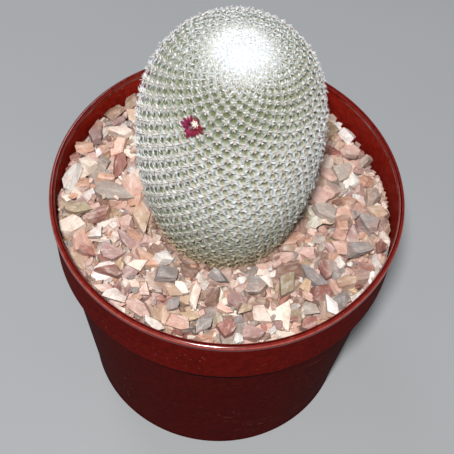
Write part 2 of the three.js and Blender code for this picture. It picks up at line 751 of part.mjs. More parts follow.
function makeFlower() {
  let flower = flowerTube(0, MOUTH_EDGE);
  for (const whorl of TEPAL_WHORLS) {
    for (let i = 0; i < whorl.count; i++) {
      const turn = whorl.turn + (i / whorl.count) * 2 * Math.PI;
      flower = flower.add(toSolid(makeTepal(whorl, turn)));
    }
  }
  const cup = turned([
    [0, MOUTH_HEIGHT - CUP_DEPTH],
    [CUP_FLOOR_RADIUS, MOUTH_HEIGHT - CUP_DEPTH],
    [CUP_RADIUS, MOUTH_HEIGHT],
    [CUP_RADIUS, MOUTH_HEIGHT + FLOWER_RADIUS],
    [0, MOUTH_HEIGHT + FLOWER_RADIUS],
  ], TUBE_SIDES);
  return inFlowerFrame(toGeometry(flower.subtract(toSolid(cup))));
}

// The stamens round the stigma: one column that carries a bead for each anther.
function makeStamens() {
  const foot = MOUTH_HEIGHT - CUP_DEPTH + GAP;
  let tuft = toSolid(turned([
    [0, foot],
    [COLUMN_RADIUS, foot],
    [COLUMN_TOP_RADIUS, foot + COLUMN_HEIGHT],
    [0, foot + COLUMN_HEIGHT + COLUMN_POINT],
  ], ANTHERS));
  for (let i = 0; i < ANTHERS; i++) {
    const bead = new THREE.OctahedronGeometry(ANTHER_RADIUS)
      .translate(ANTHER_RING_RADIUS, 0, foot + ANTHER_HEIGHTS[i % ANTHER_HEIGHTS.length])
      .rotateZ((i / ANTHERS) * 2 * Math.PI);
    tuft = tuft.add(toSolid(bead));
  }
  return inFlowerFrame(toGeometry(tuft));
}

// The assembly.
function part(name, geometry) {
  const material = new THREE.MeshStandardMaterial({ ...FINISH[name], metalness: 0 });
  const mesh = new THREE.Mesh(geometry, material);
  mesh.name = name;
  return mesh;
}

const plant = new THREE.Group();
plant.add(part('pot', makePot()));
plant.add(part('soil', makeSoil()));
plant.add(part('stones', makeStones()));
plant.add(part('cactus', makeStem()));
plant.add(part('flower', makeFlower()));
plant.add(part('stamens', makeStamens()));

export default plant;
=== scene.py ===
"""A potted mammillaria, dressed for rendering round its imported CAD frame.

The script measures in millimetres and turns them into metres where a mesh is made. The
origin is the centre of the pot's underside, +Z is up and -Y faces the viewer. Turns round
the stem count from -Y towards +X.
"""

import math
from collections import namedtuple

import bmesh
import bpy
import numpy as np
from mathutils import Matrix, Vector
from mathutils.kdtree import KDTree


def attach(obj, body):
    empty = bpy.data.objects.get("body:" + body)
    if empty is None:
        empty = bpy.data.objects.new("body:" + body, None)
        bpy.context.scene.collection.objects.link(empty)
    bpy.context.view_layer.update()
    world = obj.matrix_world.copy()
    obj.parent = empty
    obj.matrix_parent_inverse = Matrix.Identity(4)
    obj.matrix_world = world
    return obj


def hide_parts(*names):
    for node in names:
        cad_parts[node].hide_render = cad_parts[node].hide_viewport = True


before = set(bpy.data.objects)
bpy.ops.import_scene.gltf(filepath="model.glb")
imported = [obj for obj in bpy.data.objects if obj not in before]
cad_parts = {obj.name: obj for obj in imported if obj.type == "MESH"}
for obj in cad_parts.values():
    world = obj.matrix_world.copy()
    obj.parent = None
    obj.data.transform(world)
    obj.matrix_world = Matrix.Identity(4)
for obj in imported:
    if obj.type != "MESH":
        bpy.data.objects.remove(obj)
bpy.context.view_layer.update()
MM = 0.001

# The photograph's camera: a 36 mm sensor, looking down at the pot, with a little roll.
FRAME_PIXELS = 454
CAMERA_CLIP = (0.01, 20)
FOCAL_PIXELS = 1400
SENSOR_WIDTH = 36
CAMERA_ELEVATION = math.radians(57.23)
CAMERA_ROLL = math.radians(4.5)
CAMERA_DISTANCE = 569.4
CAMERA_TARGET = Vector((0.92, 0, 89.12))

# The studio light. The key light stands behind the camera, a little to its left and above.
KEY_ASIDE = -28
KEY_ABOVE = 50
KEY_SIZE = 110
KEY_WATTS = 18.4
KEY_COLOUR = (1.0, 0.995, 0.985)
FILL_PLACE = (-500, 700, 700)
FILL_TARGET = (0, 0, 90)
FILL_SIZE = 500
FILL_WATTS = 2.2
SKY_COLOUR = (0.93, 0.96, 1.0)
SKY_STRENGTH = 0.14
FLOOR_HALF = 4000

# The pot. A band of painted shadow lies on its body under the collar, where the ledge's shadow
# falls.
RIM_RADIUS = 70
POT_HEIGHT = 115
COLLAR_HEIGHT = 26.4
COLLAR_FOOT_RADIUS = 68.3
BODY_TOP_RADIUS = 65.8
BASE_RADIUS = 55
WALL = 1.5
LIP_HEIGHT = 2.6
LIP_WIDTH = 2.4
LIP_OVERHANG = 0.6
FOOT_RING_WIDTH = 5
FOOT_RING_HEIGHT = 3
FLOOR_THICKNESS = 2
DRAIN_HOLES = 6
DRAIN_HOLE_RADIUS = 4.5
DRAIN_CIRCLE_RADIUS = 38
POT_SEGMENTS = 144
WARP_OVAL = 0.16
WARP_WAVES = 0.08
WARP_ROOM = 0.44
SHADOW_BAND = 7.4
SHADOW_BAND_EDGE = 0.4

# The stem, measured to the middle of its coat of spines.
STEM_X = -0.7
STEM_Y = -3
STEM_TOP = 206.6
STEM_WIDEST_HEIGHT = 155.8
STEM_WIDEST_RADIUS = 34.6
STEM_LOW_HEIGHT = 107.8
STEM_LOW_RADIUS = 27.5
SHOULDER_EXPONENT = 2.49
CROWN_EXPONENT = 2.97
DOME_LEAN = (1.5, 0.1)
LOWEST_AREOLE_HEIGHT = 101
OUTLINE_STEPS = 600

# The spiral of areoles, and the area of skin that each of them has.
GROWING_POINT = (1.33, -4.68)
DRAW_FADE = 1.5
DIVERGENCE = math.radians(137.4977)
SPIRAL_START = math.radians(13.02)
SPIRAL_START_ARC = 60
SPIRAL_START_COUNT = 0.776
AREOLE_AREA = 24.12
CROWN_AREOLE_AREA = 2.6
LOW_AREOLE_AREA = 21
CROWN_GROWTH_LENGTH = 29
CROWN_GROWTH_POWER = 1.844
LOW_ZONE = (70, 120)
FULL_PITCH = math.sqrt(AREOLE_AREA)

# The skin: how deep the areoles, the skin under the combs, the saddles between the combs and
# the pits lie below the middle of the coat.
AREOLE_DEPTH = 0.7
COMB_DEPTH = 1.3
SADDLE_DEPTH = 2.3
FURROW_DEPTH = 3.7
SKIN_STEP = 0.66
SKIN_COLUMNS = 320

# The flower.
FLOWER_TURN = math.radians(-28)
FLOWER_ARC = 33.5

# The stones.
SOIL_TOP = 91
STEM_FOOT_HEIGHT = SOIL_TOP - 6
STONE_LEVEL_AT_STEM = 106
STONE_LEVEL_AT_WALL = 101
STONE_SLOPE = 4.5
STONE_HIGH_SIDE = math.radians(145)


def srgb(red, green, blue):
    """A linear colour from the 0 to 255 values that a screen shows."""
    values = np.array([red, green, blue]) / 255
    return np.where(values <= 0.04045, values / 12.92, ((values + 0.055) / 1.055) ** 2.4)


def smoothstep(values, low, high):
    share = np.clip((np.asarray(values, float) - low) / (high - low), 0, 1)
    return share * share * (3 - 2 * share)


def lerp(a, b, share):
    return a + (b - a) * share


def tint(a, b, share):
    """A colour between two others for every share of an array."""
    return lerp(a, b, share[..., None])


def unit(vectors):
    return vectors / np.maximum(np.linalg.norm(vectors, axis=-1, keepdims=True), 1e-9)


def dot(a, b):
    return np.sum(a * b, axis=-1)


def on_circle(turn, radius, height):
    return np.array([radius * math.cos(turn), radius * math.sin(turn), height])


# Making meshes and materials.
def add_object(name, data):
    made = bpy.data.objects.new(name, data)
    bpy.context.scene.collection.objects.link(made)
    return made


def add_mesh(name, points, faces, material, tones=None, own=None, smooth=True):
    """A new object from points in millimetres and an array of triangles or quads.

    The materials read the points' colours as Tone and their places on a stone as Own.
    """
    mesh = bpy.data.meshes.new(name)
    points, faces = np.asarray(points, float) * MM, np.asarray(faces, int)
    mesh.vertices.add(len(points))
    mesh.vertices.foreach_set("co", points.ravel())
    mesh.loops.add(faces.size)
    mesh.loops.foreach_set("vertex_index", faces.ravel())
    mesh.polygons.add(len(faces))
    mesh.polygons.foreach_set("loop_start", np.arange(len(faces)) * faces.shape[1])
    mesh.update(calc_edges=True)
    mesh.polygons.foreach_set("use_smooth", np.full(len(faces), smooth))
    if tones is not None:
        layer = mesh.color_attributes.new(name="Tone", type="FLOAT_COLOR", domain="POINT")
        layer.data.foreach_set("color", np.column_stack([tones, np.ones(len(tones))]).ravel())
    if own is not None:
        layer = mesh.attributes.new(name="Own", type="FLOAT_VECTOR", domain="POINT")
        layer.data.foreach_set("vector", own.ravel())
    mesh.materials.append(material)
    return add_object(name, mesh)


def turned_points(radius, height, sides):
    """Points on rings round the Z axis, with a row of radius and height for each ring."""
    turns = np.arange(sides) / sides * 2 * math.pi
    return np.stack(np.broadcast_arrays(radius * np.cos(turns), radius * np.sin(turns), height),
                    axis=-1).reshape(-1, 3)


def bands(starts, sides):
    """The quads between rings of points, each ring given by its first point's index."""
    column = np.arange(sides)
    following = (column + 1) % sides
    return np.vstack([
        np.stack([low + column, high + column, high + following, low + following], 1)
        for low, high in zip(starts, starts[1:])
    ])


def closed_body(points, sides, ends, downward=False):
    """Rings of points up or down an axis, closed with a point at either end, and triangles."""
    column = np.arange(sides)
    following = (column + 1) % sides
    first_end, last = len(points), len(points) - sides
    quads = bands(range(0, len(points), sides), sides)
    triangles = np.vstack([
        quads[:, [0, 3, 2]],
        quads[:, [0, 2, 1]],
        np.stack([np.full(sides, first_end), following, column], 1),
        np.stack([np.full(sides, first_end + 1), last + column, last + following], 1),
    ])
    return np.vstack([points, ends]), triangles[:, ::-1] if downward else triangles


def joined(parts):
    """Several sets of points, faces and colours as one."""
    start = np.cumsum([0] + [len(points) for points, _, _ in parts[:-1]])
    return (
        np.vstack([points for points, _, _ in parts]),
        np.vstack([faces + first for (_, faces, _), first in zip(parts, start)]),
        np.vstack([tones for _, _, tones in parts]),
    )


def dress(piece, slot, *nodes):
    """Rides on the part and stands for CAD nodes, which it hides."""
    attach(piece, "root")
    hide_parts(*nodes)
    return piece


class Shader:
    """A small helper that builds one material's nodes."""

    def __init__(self, name):
        self.material = bpy.data.materials.new(name)
        self.material.use_nodes = True
        self.tree = self.material.node_tree
        self.surface = self.tree.nodes["Principled BSDF"]

    def node(self, kind, inputs=(), **settings):
        made = self.tree.nodes.new("ShaderNode" + kind)
        for key, value in settings.items():
            setattr(made, key, value)
        for key, value in dict(inputs).items():
            self.put(made, key, value)
        return made

    def put(self, node, key, value):
        if isinstance(value, bpy.types.NodeSocket):
            self.tree.links.new(value, node.inputs[key])
        else:
            node.inputs[key].default_value = value

    def set(self, **inputs):
        for key, value in inputs.items():
            self.put(self.surface, key.replace("_", " "), value)

    def place(self):
        return self.node("TexCoord").outputs["Object"]

    def attribute(self, title, output="Color"):
        return self.node("Attribute", attribute_name=title).outputs[output]

    def noise(self, place, scale, detail=3.0, roughness=0.55):
        made = self.node("TexNoise", {"Vector": place, "Scale": scale, "Detail": detail,
                                      "Roughness": roughness})
        return made.outputs["Fac"]

    def cells(self, place, scale, **settings):
        made = self.node("TexVoronoi", {"Vector": place, "Scale": scale}, **settings)
        return made.outputs["Distance"]

    def stretched(self, place, scale):
        return self.node("Mapping", {"Vector": place, "Scale": scale}).outputs["Vector"]

    def spread(self, value, low, high, new_low=0.0, new_high=1.0):
        made = self.node("MapRange", {"Value": value, "From Min": low, "From Max": high,
                                      "To Min": new_low, "To Max": new_high})
        return made.outputs["Result"]

    def mix(self, share, a, b, blend="MIX"):
        made = self.node("Mix", data_type="RGBA", blend_type=blend)
        self.put(made, 0, share)
        for socket, value in ((6, a), (7, b)):
            opaque = value if isinstance(value, bpy.types.NodeSocket) else (*value, 1)
            self.put(made, socket, opaque)
        return made.outputs[2]

    def stain(self, colour, pattern, low, high, shade, amount=1.0, blend="MIX"):
        """Lays a shade over a colour where a pattern rises from low to high."""
        return self.mix(self.spread(pattern, low, high, 0.0, amount), colour, shade, blend)

    def darken(self, colour, pattern, low, high, shade, amount=1.0):
        return self.stain(colour, pattern, low, high, shade, amount, "MULTIPLY")

    def calculate(self, operation, a, b):
        made = self.node("Math", operation=operation)
        self.put(made, 0, a)
        self.put(made, 1, b)
        return made.outputs[0]

    def times(self, a, b):
        return self.calculate("MULTIPLY", a, b)

    def bump(self, height, distance):
        made = self.node("Bump", {"Height": height, "Distance": distance * MM})
        self.put(self.surface, "Normal", made.outputs["Normal"])


# The camera, the light and the floor.
def camera_axes():
    """The camera's place and its right, up and back directions, in millimetres."""
    back = Vector((0, -math.cos(CAMERA_ELEVATION), math.sin(CAMERA_ELEVATION)))
    right = Vector((1, 0, 0))
    up = back.cross(right)
    rolled_right = math.cos(CAMERA_ROLL) * right + math.sin(CAMERA_ROLL) * up
    rolled_up = math.cos(CAMERA_ROLL) * up - math.sin(CAMERA_ROLL) * right
    return CAMERA_TARGET + CAMERA_DISTANCE * back, rolled_right, rolled_up, back


def make_camera():
    place, right, up, back = camera_axes()
    data = bpy.data.cameras.new("camera")
    data.sensor_width = SENSOR_WIDTH
    data.lens = FOCAL_PIXELS / FRAME_PIXELS * SENSOR_WIDTH
    data.clip_start, data.clip_end = CAMERA_CLIP
    camera = add_object("camera", data)
    matrix = Matrix((right, up, back)).transposed().to_4x4()
    matrix.translation = place * MM
    camera.matrix_world = matrix
    bpy.context.scene.camera = camera


def area_light(name, place, target, size, watts, colour):
    data = bpy.data.lights.new(name, "AREA")
    data.shape = "DISK"
    data.size = size * MM
    data.energy = watts
    data.color = colour
    light = add_object(name, data)
    light.location = Vector(place) * MM
    direction = Vector(place) - Vector(target)
    light.rotation_euler = direction.to_track_quat("Z", "Y").to_euler()


def make_light():
    place, right, up, _ = camera_axes()
    key = place + KEY_ASIDE * right + KEY_ABOVE * up
    key = key + (key - CAMERA_TARGET)
    area_light("key", key, CAMERA_TARGET, KEY_SIZE, KEY_WATTS, KEY_COLOUR)
    area_light("fill", FILL_PLACE, FILL_TARGET, FILL_SIZE, FILL_WATTS, SKY_COLOUR)
    world = bpy.data.worlds.new("studio")
    world.use_nodes = True
    background = world.node_tree.nodes["Background"]
    background.inputs["Color"].default_value = (*SKY_COLOUR, 1)
    background.inputs["Strength"].default_value = SKY_STRENGTH
    bpy.context.scene.world = world
    bpy.context.scene.view_settings.view_transform = "Standard"


def make_floor():
    shader = Shader("floor")
    shade = shader.noise(shader.place(), 6)
    colour = shader.mix(shade, (0.30, 0.31, 0.322), (0.335, 0.345, 0.355))
    shader.set(Base_Color=colour, Roughness=0.9)
    corners = [(x * FLOOR_HALF, y * FLOOR_HALF, 0) for x, y in ((-1, -1), (1, -1), (1, 1), (-1, 1))]
    add_mesh("floor", corners, [[0, 1, 2, 3]], shader.material, smooth=False)


# The pot's colours: one plastic, painted lighter on its inside, lip and collar and darker on its
# body as lit and shaded copies, with a painted shadow band and a painted highlight; and its plastic
# with dust, specks and rubbed scuffs.
POT_BODY_SHADED = srgb(77, 12, 7)
POT_COLLAR_LIT = srgb(100, 17, 11)
POT_PAINTED_SHADOW = srgb(34, 8, 6)
POT_INSIDE_LIT = srgb(142, 34, 23)
POT_LIP_LIT = srgb(116, 25, 18)
POT_PAINTED_HIGHLIGHT = srgb(176, 90, 80)


def pot_material():
    shader = Shader("pot_plastic")
    place = shader.place()
    broad, mottle = shader.noise(place, 35, 4), shader.noise(place, 420, 4, 0.7)
    film = shader.noise(place, 160, 6, 0.7)
    colour = shader.darken(shader.attribute("Tone"), broad, 0.35, 0.7, (0.9, 0.82, 0.8))
    colour = shader.stain(colour, film, 0.58, 0.88, srgb(150, 64, 54), 0.05)
    colour = shader.darken(colour, mottle, 0.42, 0.6, (0.7, 0.68, 0.68))
    patches = shader.spread(shader.noise(place, 40, 4), 0.58, 0.7)
    specks = shader.times(shader.spread(shader.cells(place, 480), 0.16, 0.08), patches)
    colour = shader.mix(shader.times(specks, 0.5), colour, srgb(196, 140, 124))
    smears = shader.noise(shader.stretched(place, (1, 1, 4)), 130, 5, 0.75)
    rubbed = shader.spread(shader.noise(shader.stretched(place, (1, 1, 2)), 24, 3), 0.57, 0.66)
    scuffs = shader.times(shader.spread(smears, 0.56, 0.72), rubbed)
    colour = shader.mix(shader.times(scuffs, 0.5), colour, srgb(168, 92, 78))
    wear = shader.spread(film, 0.4, 0.8, 0.27, 0.42)
    wear = shader.calculate("ADD", wear, shader.times(specks, 0.3))
    height = shader.node("SeparateXYZ", {"Vector": place}).outputs["Z"]
    lip = (POT_HEIGHT - LIP_HEIGHT) * MM
    shader.set(Base_Color=colour, Roughness=wear, Specular_IOR_Level=0.0, Coat_Roughness=0.18,
               Coat_Weight=shader.spread(height, lip, lip + 0.4 * MM, 0.05, 1.0))
    shader.bump(shader.noise(place, 700, 3), 0.012)
    return shader.material


# A ring on either side of each rounded corner holds the shading, this many radii from it.
RING_HOLD = 1.35


def rounded(corners, steps=3):
    """A profile with a short arc in place of each corner (radius, height, rounding)."""
    result = []
    for i, (*place, rounding) in enumerate(corners):
        here = np.array(place, float)
        if rounding == 0:
            result.append(tuple(here))
            continue
        to_last = unit(np.array(corners[i - 1][:2], float) - here)
        to_next = unit(np.array(corners[(i + 1) % len(corners)][:2], float) - here)
        result.append(tuple(here + to_last * rounding * RING_HOLD))
        for share in np.linspace(0, 1, steps + 1):
            a = here + to_last * rounding * (1 - share)
            b = here + to_next * rounding * share
            result.append(tuple(lerp(a, b, share)))
        result.append(tuple(here + to_next * rounding * RING_HOLD))
    return result


def make_pot():
    collar_foot = POT_HEIGHT - COLLAR_HEIGHT
    lip_foot = POT_HEIGHT - LIP_HEIGHT
    collar_top_radius = RIM_RADIUS - LIP_OVERHANG
    ring_inner_radius = BASE_RADIUS - FOOT_RING_WIDTH
    inside_floor = FOOT_RING_HEIGHT + FLOOR_THICKNESS
    shadow_band_foot = collar_foot - SHADOW_BAND
    plain_body_top = shadow_band_foot - SHADOW_BAND_EDGE

    def body_radius(height):
        return lerp(BASE_RADIUS, BODY_TOP_RADIUS, height / collar_foot)

    corners = [
        (0, FOOT_RING_HEIGHT, 0),
        (ring_inner_radius - 0.7, FOOT_RING_HEIGHT, 0.4),
        (ring_inner_radius, 0, 0.7),
        (BASE_RADIUS, 0, 1.2),
        (body_radius(plain_body_top), plain_body_top, 0),
        (body_radius(shadow_band_foot), shadow_band_foot, 0),
        (BODY_TOP_RADIUS, collar_foot, 0.3),
        (COLLAR_FOOT_RADIUS, collar_foot, 0.5),
        (collar_top_radius, lip_foot, 0.2),
        (RIM_RADIUS, lip_foot + 0.3, 0.2),
        (RIM_RADIUS, POT_HEIGHT, 1.2),
        (RIM_RADIUS - LIP_WIDTH, POT_HEIGHT, 0.8),
        (collar_top_radius - WALL, lip_foot, 0.6),
        (COLLAR_FOOT_RADIUS - WALL, collar_foot + WALL, 0.6),
        (BODY_TOP_RADIUS - WALL, collar_foot - WALL, 0.6),
        (body_radius(inside_floor) - WALL, inside_floor, 2),
        (0, inside_floor, 0),
    ]
    radius, height = np.split(np.array(rounded(corners)[1:-1]), 2, axis=1)
    turns = np.arange(POT_SEGMENTS) / POT_SEGMENTS * 2 * math.pi
    warp = WARP_OVAL * np.cos(2 * turns + 0.7) + WARP_WAVES * np.cos(5 * turns)
    warped = np.where(height < 1, radius, radius + warp * (height / POT_HEIGHT) ** 3 - WARP_ROOM)
    points, triangles = closed_body(turned_points(warped, height, POT_SEGMENTS), POT_SEGMENTS,
                                    [[0, 0, FOOT_RING_HEIGHT], [0, 0, inside_floor]])
    wall = np.interp(height, [0, collar_foot, POT_HEIGHT],
                     [BASE_RADIUS, BODY_TOP_RADIUS, RIM_RADIUS])
    # Painted light and shade: the collar, the inside and the lip get lighter copies of the
    # plastic's colour than the body.
    tone = np.where(height > collar_foot - 0.2, POT_COLLAR_LIT, POT_BODY_SHADED)
    # Painted shadow: a dark band on the body under the collar, where the ledge throws its shadow.
    tone = np.where((height > shadow_band_foot - 0.1) & (height < collar_foot + 0.1), POT_PAINTED_SHADOW, tone)
    tone = np.where(radius < wall - 0.6, POT_INSIDE_LIT, tone)
    tone = np.where(height > POT_HEIGHT - LIP_HEIGHT / 2, POT_LIP_LIT, tone)
    # Painted highlight: a pale ring along the lip's outer crest.
    tone[np.argmax(radius + height)] = POT_PAINTED_HIGHLIGHT
    tone = np.vstack([np.repeat(tone, POT_SEGMENTS, axis=0), [POT_BODY_SHADED, POT_INSIDE_LIT]])
    pot = add_mesh("pot_shell", points, triangles, pot_material(), tone)
    cut_drain_holes(pot)
    return dress(pot, "pot", "pot")


def cut_drain_holes(pot):
    drills = bmesh.new()
    for turn in np.arange(DRAIN_HOLES) / DRAIN_HOLES * 2 * math.pi:
        place = on_circle(turn, DRAIN_CIRCLE_RADIUS * MM, 0)
        bmesh.ops.create_cone(
            drills, cap_ends=True, segments=32, radius1=DRAIN_HOLE_RADIUS * MM,
            radius2=DRAIN_HOLE_RADIUS * MM, depth=20 * MM, matrix=Matrix.Translation(place))
    mesh = bpy.data.meshes.new("drills")
    drills.to_mesh(mesh)
    drills.free()
    cutter = add_object("drills", mesh)
    modifier = pot.modifiers.new("drain", "BOOLEAN")
    modifier.operation = "DIFFERENCE"
    modifier.object = cutter
    modifier.solver = "EXACT"
    graph = bpy.context.evaluated_depsgraph_get()
    pot.data = bpy.data.meshes.new_from_object(pot.evaluated_get(graph))
    pot.modifiers.clear()
    bpy.data.objects.remove(cutter)


# The stem's outline and its spiral.
Outline = namedtuple("Outline", "radius height out_x out_z arc count")


def low_stem_radius(height):
    drop = (STEM_WIDEST_HEIGHT - height) / (STEM_WIDEST_HEIGHT - STEM_LOW_HEIGHT)
    return STEM_WIDEST_RADIUS - (STEM_WIDEST_RADIUS - STEM_LOW_RADIUS) * drop ** 2


def areole_area(arc):
    grown = 1 - np.exp(-((arc / CROWN_GROWTH_LENGTH) ** CROWN_GROWTH_POWER))
    lower = (LOW_AREOLE_AREA - AREOLE_AREA) * smoothstep(arc, *LOW_ZONE)
    return np.maximum(CROWN_AREOLE_AREA, AREOLE_AREA * grown) + lower


def stem_outline():
    rise = np.cos(np.arange(1, OUTLINE_STEPS + 1) / OUTLINE_STEPS * math.pi / 2)
    dome_radius = STEM_WIDEST_RADIUS * (1 - rise ** SHOULDER_EXPONENT) ** (1 / CROWN_EXPONENT)
    dome_height = lerp(STEM_WIDEST_HEIGHT, STEM_TOP, rise)
    low_height = np.linspace(STEM_WIDEST_HEIGHT, LOWEST_AREOLE_HEIGHT, OUTLINE_STEPS + 1)[1:]
    radius = np.concatenate([dome_radius, low_stem_radius(low_height)])
    height = np.concatenate([dome_height, low_height])
    step = np.hypot(np.diff(radius, prepend=radius[0]), np.diff(height, prepend=height[0]))
    arc = radius[0] + np.cumsum(step)
    ring = math.pi * (radius + np.concatenate([radius[:1], radius[:-1]]))
    count = np.cumsum(ring * step / areole_area(arc - step / 2))
    along = np.pad([radius, height], ((0, 0), (1, 1)), mode="edge")
    along = along[:, 2:] - along[:, :-2]
    out_x, out_z = unit(np.stack([-along[1], along[0]], 1)).T
    return Outline(radius, height, out_x, out_z, arc, count)


OUTLINE = stem_outline()


def read(name, arc):
    return np.interp(arc, OUTLINE.arc, getattr(OUTLINE, name))


def dome_share(height):
    return np.clip((height - STEM_WIDEST_HEIGHT) / (STEM_TOP - STEM_WIDEST_HEIGHT), 0, None) ** 2


def drawn_place(arc, turn):
    """Moves a place of the regular spiral to where the growing point draws it."""
    radius, share = read("radius", arc), dome_share(read("height", arc)) ** DRAW_FADE
    x = radius * np.sin(turn) + GROWING_POINT[0] * share
    y = -radius * np.cos(turn) + GROWING_POINT[1] * share
    moved = np.interp(np.hypot(x, y), OUTLINE.radius[:OUTLINE_STEPS], OUTLINE.arc[:OUTLINE_STEPS])
    return np.where(share > 0, moved, arc), np.where(share > 0, np.arctan2(x, -y), turn)


def stem_point(arc, turn, depth):
    height, share = read("height", arc), dome_share(read("height", arc))
    radius = read("radius", arc) - read("out_x", arc) * depth
    return np.stack([
        STEM_X + DOME_LEAN[0] * share + radius * np.sin(turn),
        STEM_Y + DOME_LEAN[1] * share - radius * np.cos(turn),
        height - read("out_z", arc) * depth,
    ], axis=-1)


def stem_axes(arc, turn):
    """Outward, across (towards greater turns) and up the stem."""
    out_x, out_z = read("out_x", arc), read("out_z", arc)
    out = np.stack([out_x * np.sin(turn), -out_x * np.cos(turn), out_z], axis=-1)
    across = np.stack([np.cos(turn), np.sin(turn), np.zeros_like(turn)], axis=-1)
    return unit(out), across, unit(np.cross(out, across))


Areoles = namedtuple("Areoles", "arc turn place pitch out across up")

# The long areoles lean a little from the vertical, along the lines of furrows.
COMB_LEAN = math.radians(13)


def areole_spiral():
    start = np.interp(SPIRAL_START_ARC, OUTLINE.arc, OUTLINE.count) + SPIRAL_START_COUNT
    index = np.arange(math.ceil(-start), math.floor(OUTLINE.count[-1] - start) + 1)
    plain_arc = np.interp(start + index, OUTLINE.count, OUTLINE.arc)
    arc, turn = drawn_place(plain_arc, SPIRAL_START + index * DIVERGENCE)
    out, across, up = stem_axes(arc, turn)
    lean = COMB_LEAN * smoothstep(arc, 15, 45)[:, None]
    cos, sin = np.cos(lean), np.sin(lean)
    across, up = across * cos + up * sin, up * cos - across * sin
    return Areoles(arc, turn, stem_point(arc, turn, AREOLE_DEPTH), np.sqrt(areole_area(plain_arc)),
                   out, across, up)


AREOLES = areole_spiral()


# The stem's skin.
SKIN_GREEN = srgb(104, 108, 74)
SKIN_FURROW = srgb(68, 73, 46)
SKIN_AREOLE = srgb(190, 166, 138)
SKIN_UNDER_COMB = srgb(202, 204, 203)
SKIN_UNDER_YOUNG_COMB = srgb(130, 136, 128)
SKIN_SADDLE = srgb(152, 155, 145)
SKIN_LOW_AND_SHADE = srgb(98, 102, 80)
SKIN_OLD = srgb(98, 86, 62)
CROWN_WOOL_AND_HIGHLIGHT = srgb(246, 247, 246)

# The heights between which the skin and the spines turn to their low and old colours. The low
# colours are darker: partly the older skin and spines, partly painted shade on the lower stem.
SKIN_LOW_AND_SHADE_HEIGHTS = (160, 122)
SKIN_OLD_HEIGHTS = (124, 106)
SPINE_GREY_AND_SHADE_HEIGHTS = (162, 124)
SPINE_OLD_HEIGHTS = (130, 106)


def skin_material():
    shader = Shader("cactus_skin")
    pores = shader.noise(shader.place(), 1500, 3)
    colour = shader.darken(shader.attribute("Tone"), pores, 0.3, 0.7, (0.7, 0.72, 0.62), 0.35)
    shader.set(Base_Color=colour, Roughness=0.62, Subsurface_Weight=0.08,
               Subsurface_Radius=(0.8, 1.0, 0.4), Subsurface_Scale=0.8 * MM)
    shader.bump(pores, 0.05)
    return shader.material


# The dark pits between the combs. Each lies halfway from one areole to the next in its column,
# COLUMN_STEP further on along the spiral. PIT_STEPS lead from an areole to the pits round it.
COLUMN_STEP = 55
PIT_STEPS = (0, -55, -21, -34)
PITS = 0.5 * (AREOLES.place[:-COLUMN_STEP] + AREOLES.place[COLUMN_STEP:])


def pit_half_axes(arc, pitch):
    """Half the width and half the height of the pits at an areole."""
    long = smoothstep(arc, 30, 46)
    size = np.clip(pitch / FULL_PITCH, 0.2, 1)
    return lerp(1.68, 1.3, long) * size, lerp(1.56, 1.9, long) * size


def nearest(places, points):
    tree = KDTree(len(places))
    for i, place in enumerate(places):
        tree.insert(place, i)
    tree.balance()
    return np.array([tree.find(point)[1] for point in points])


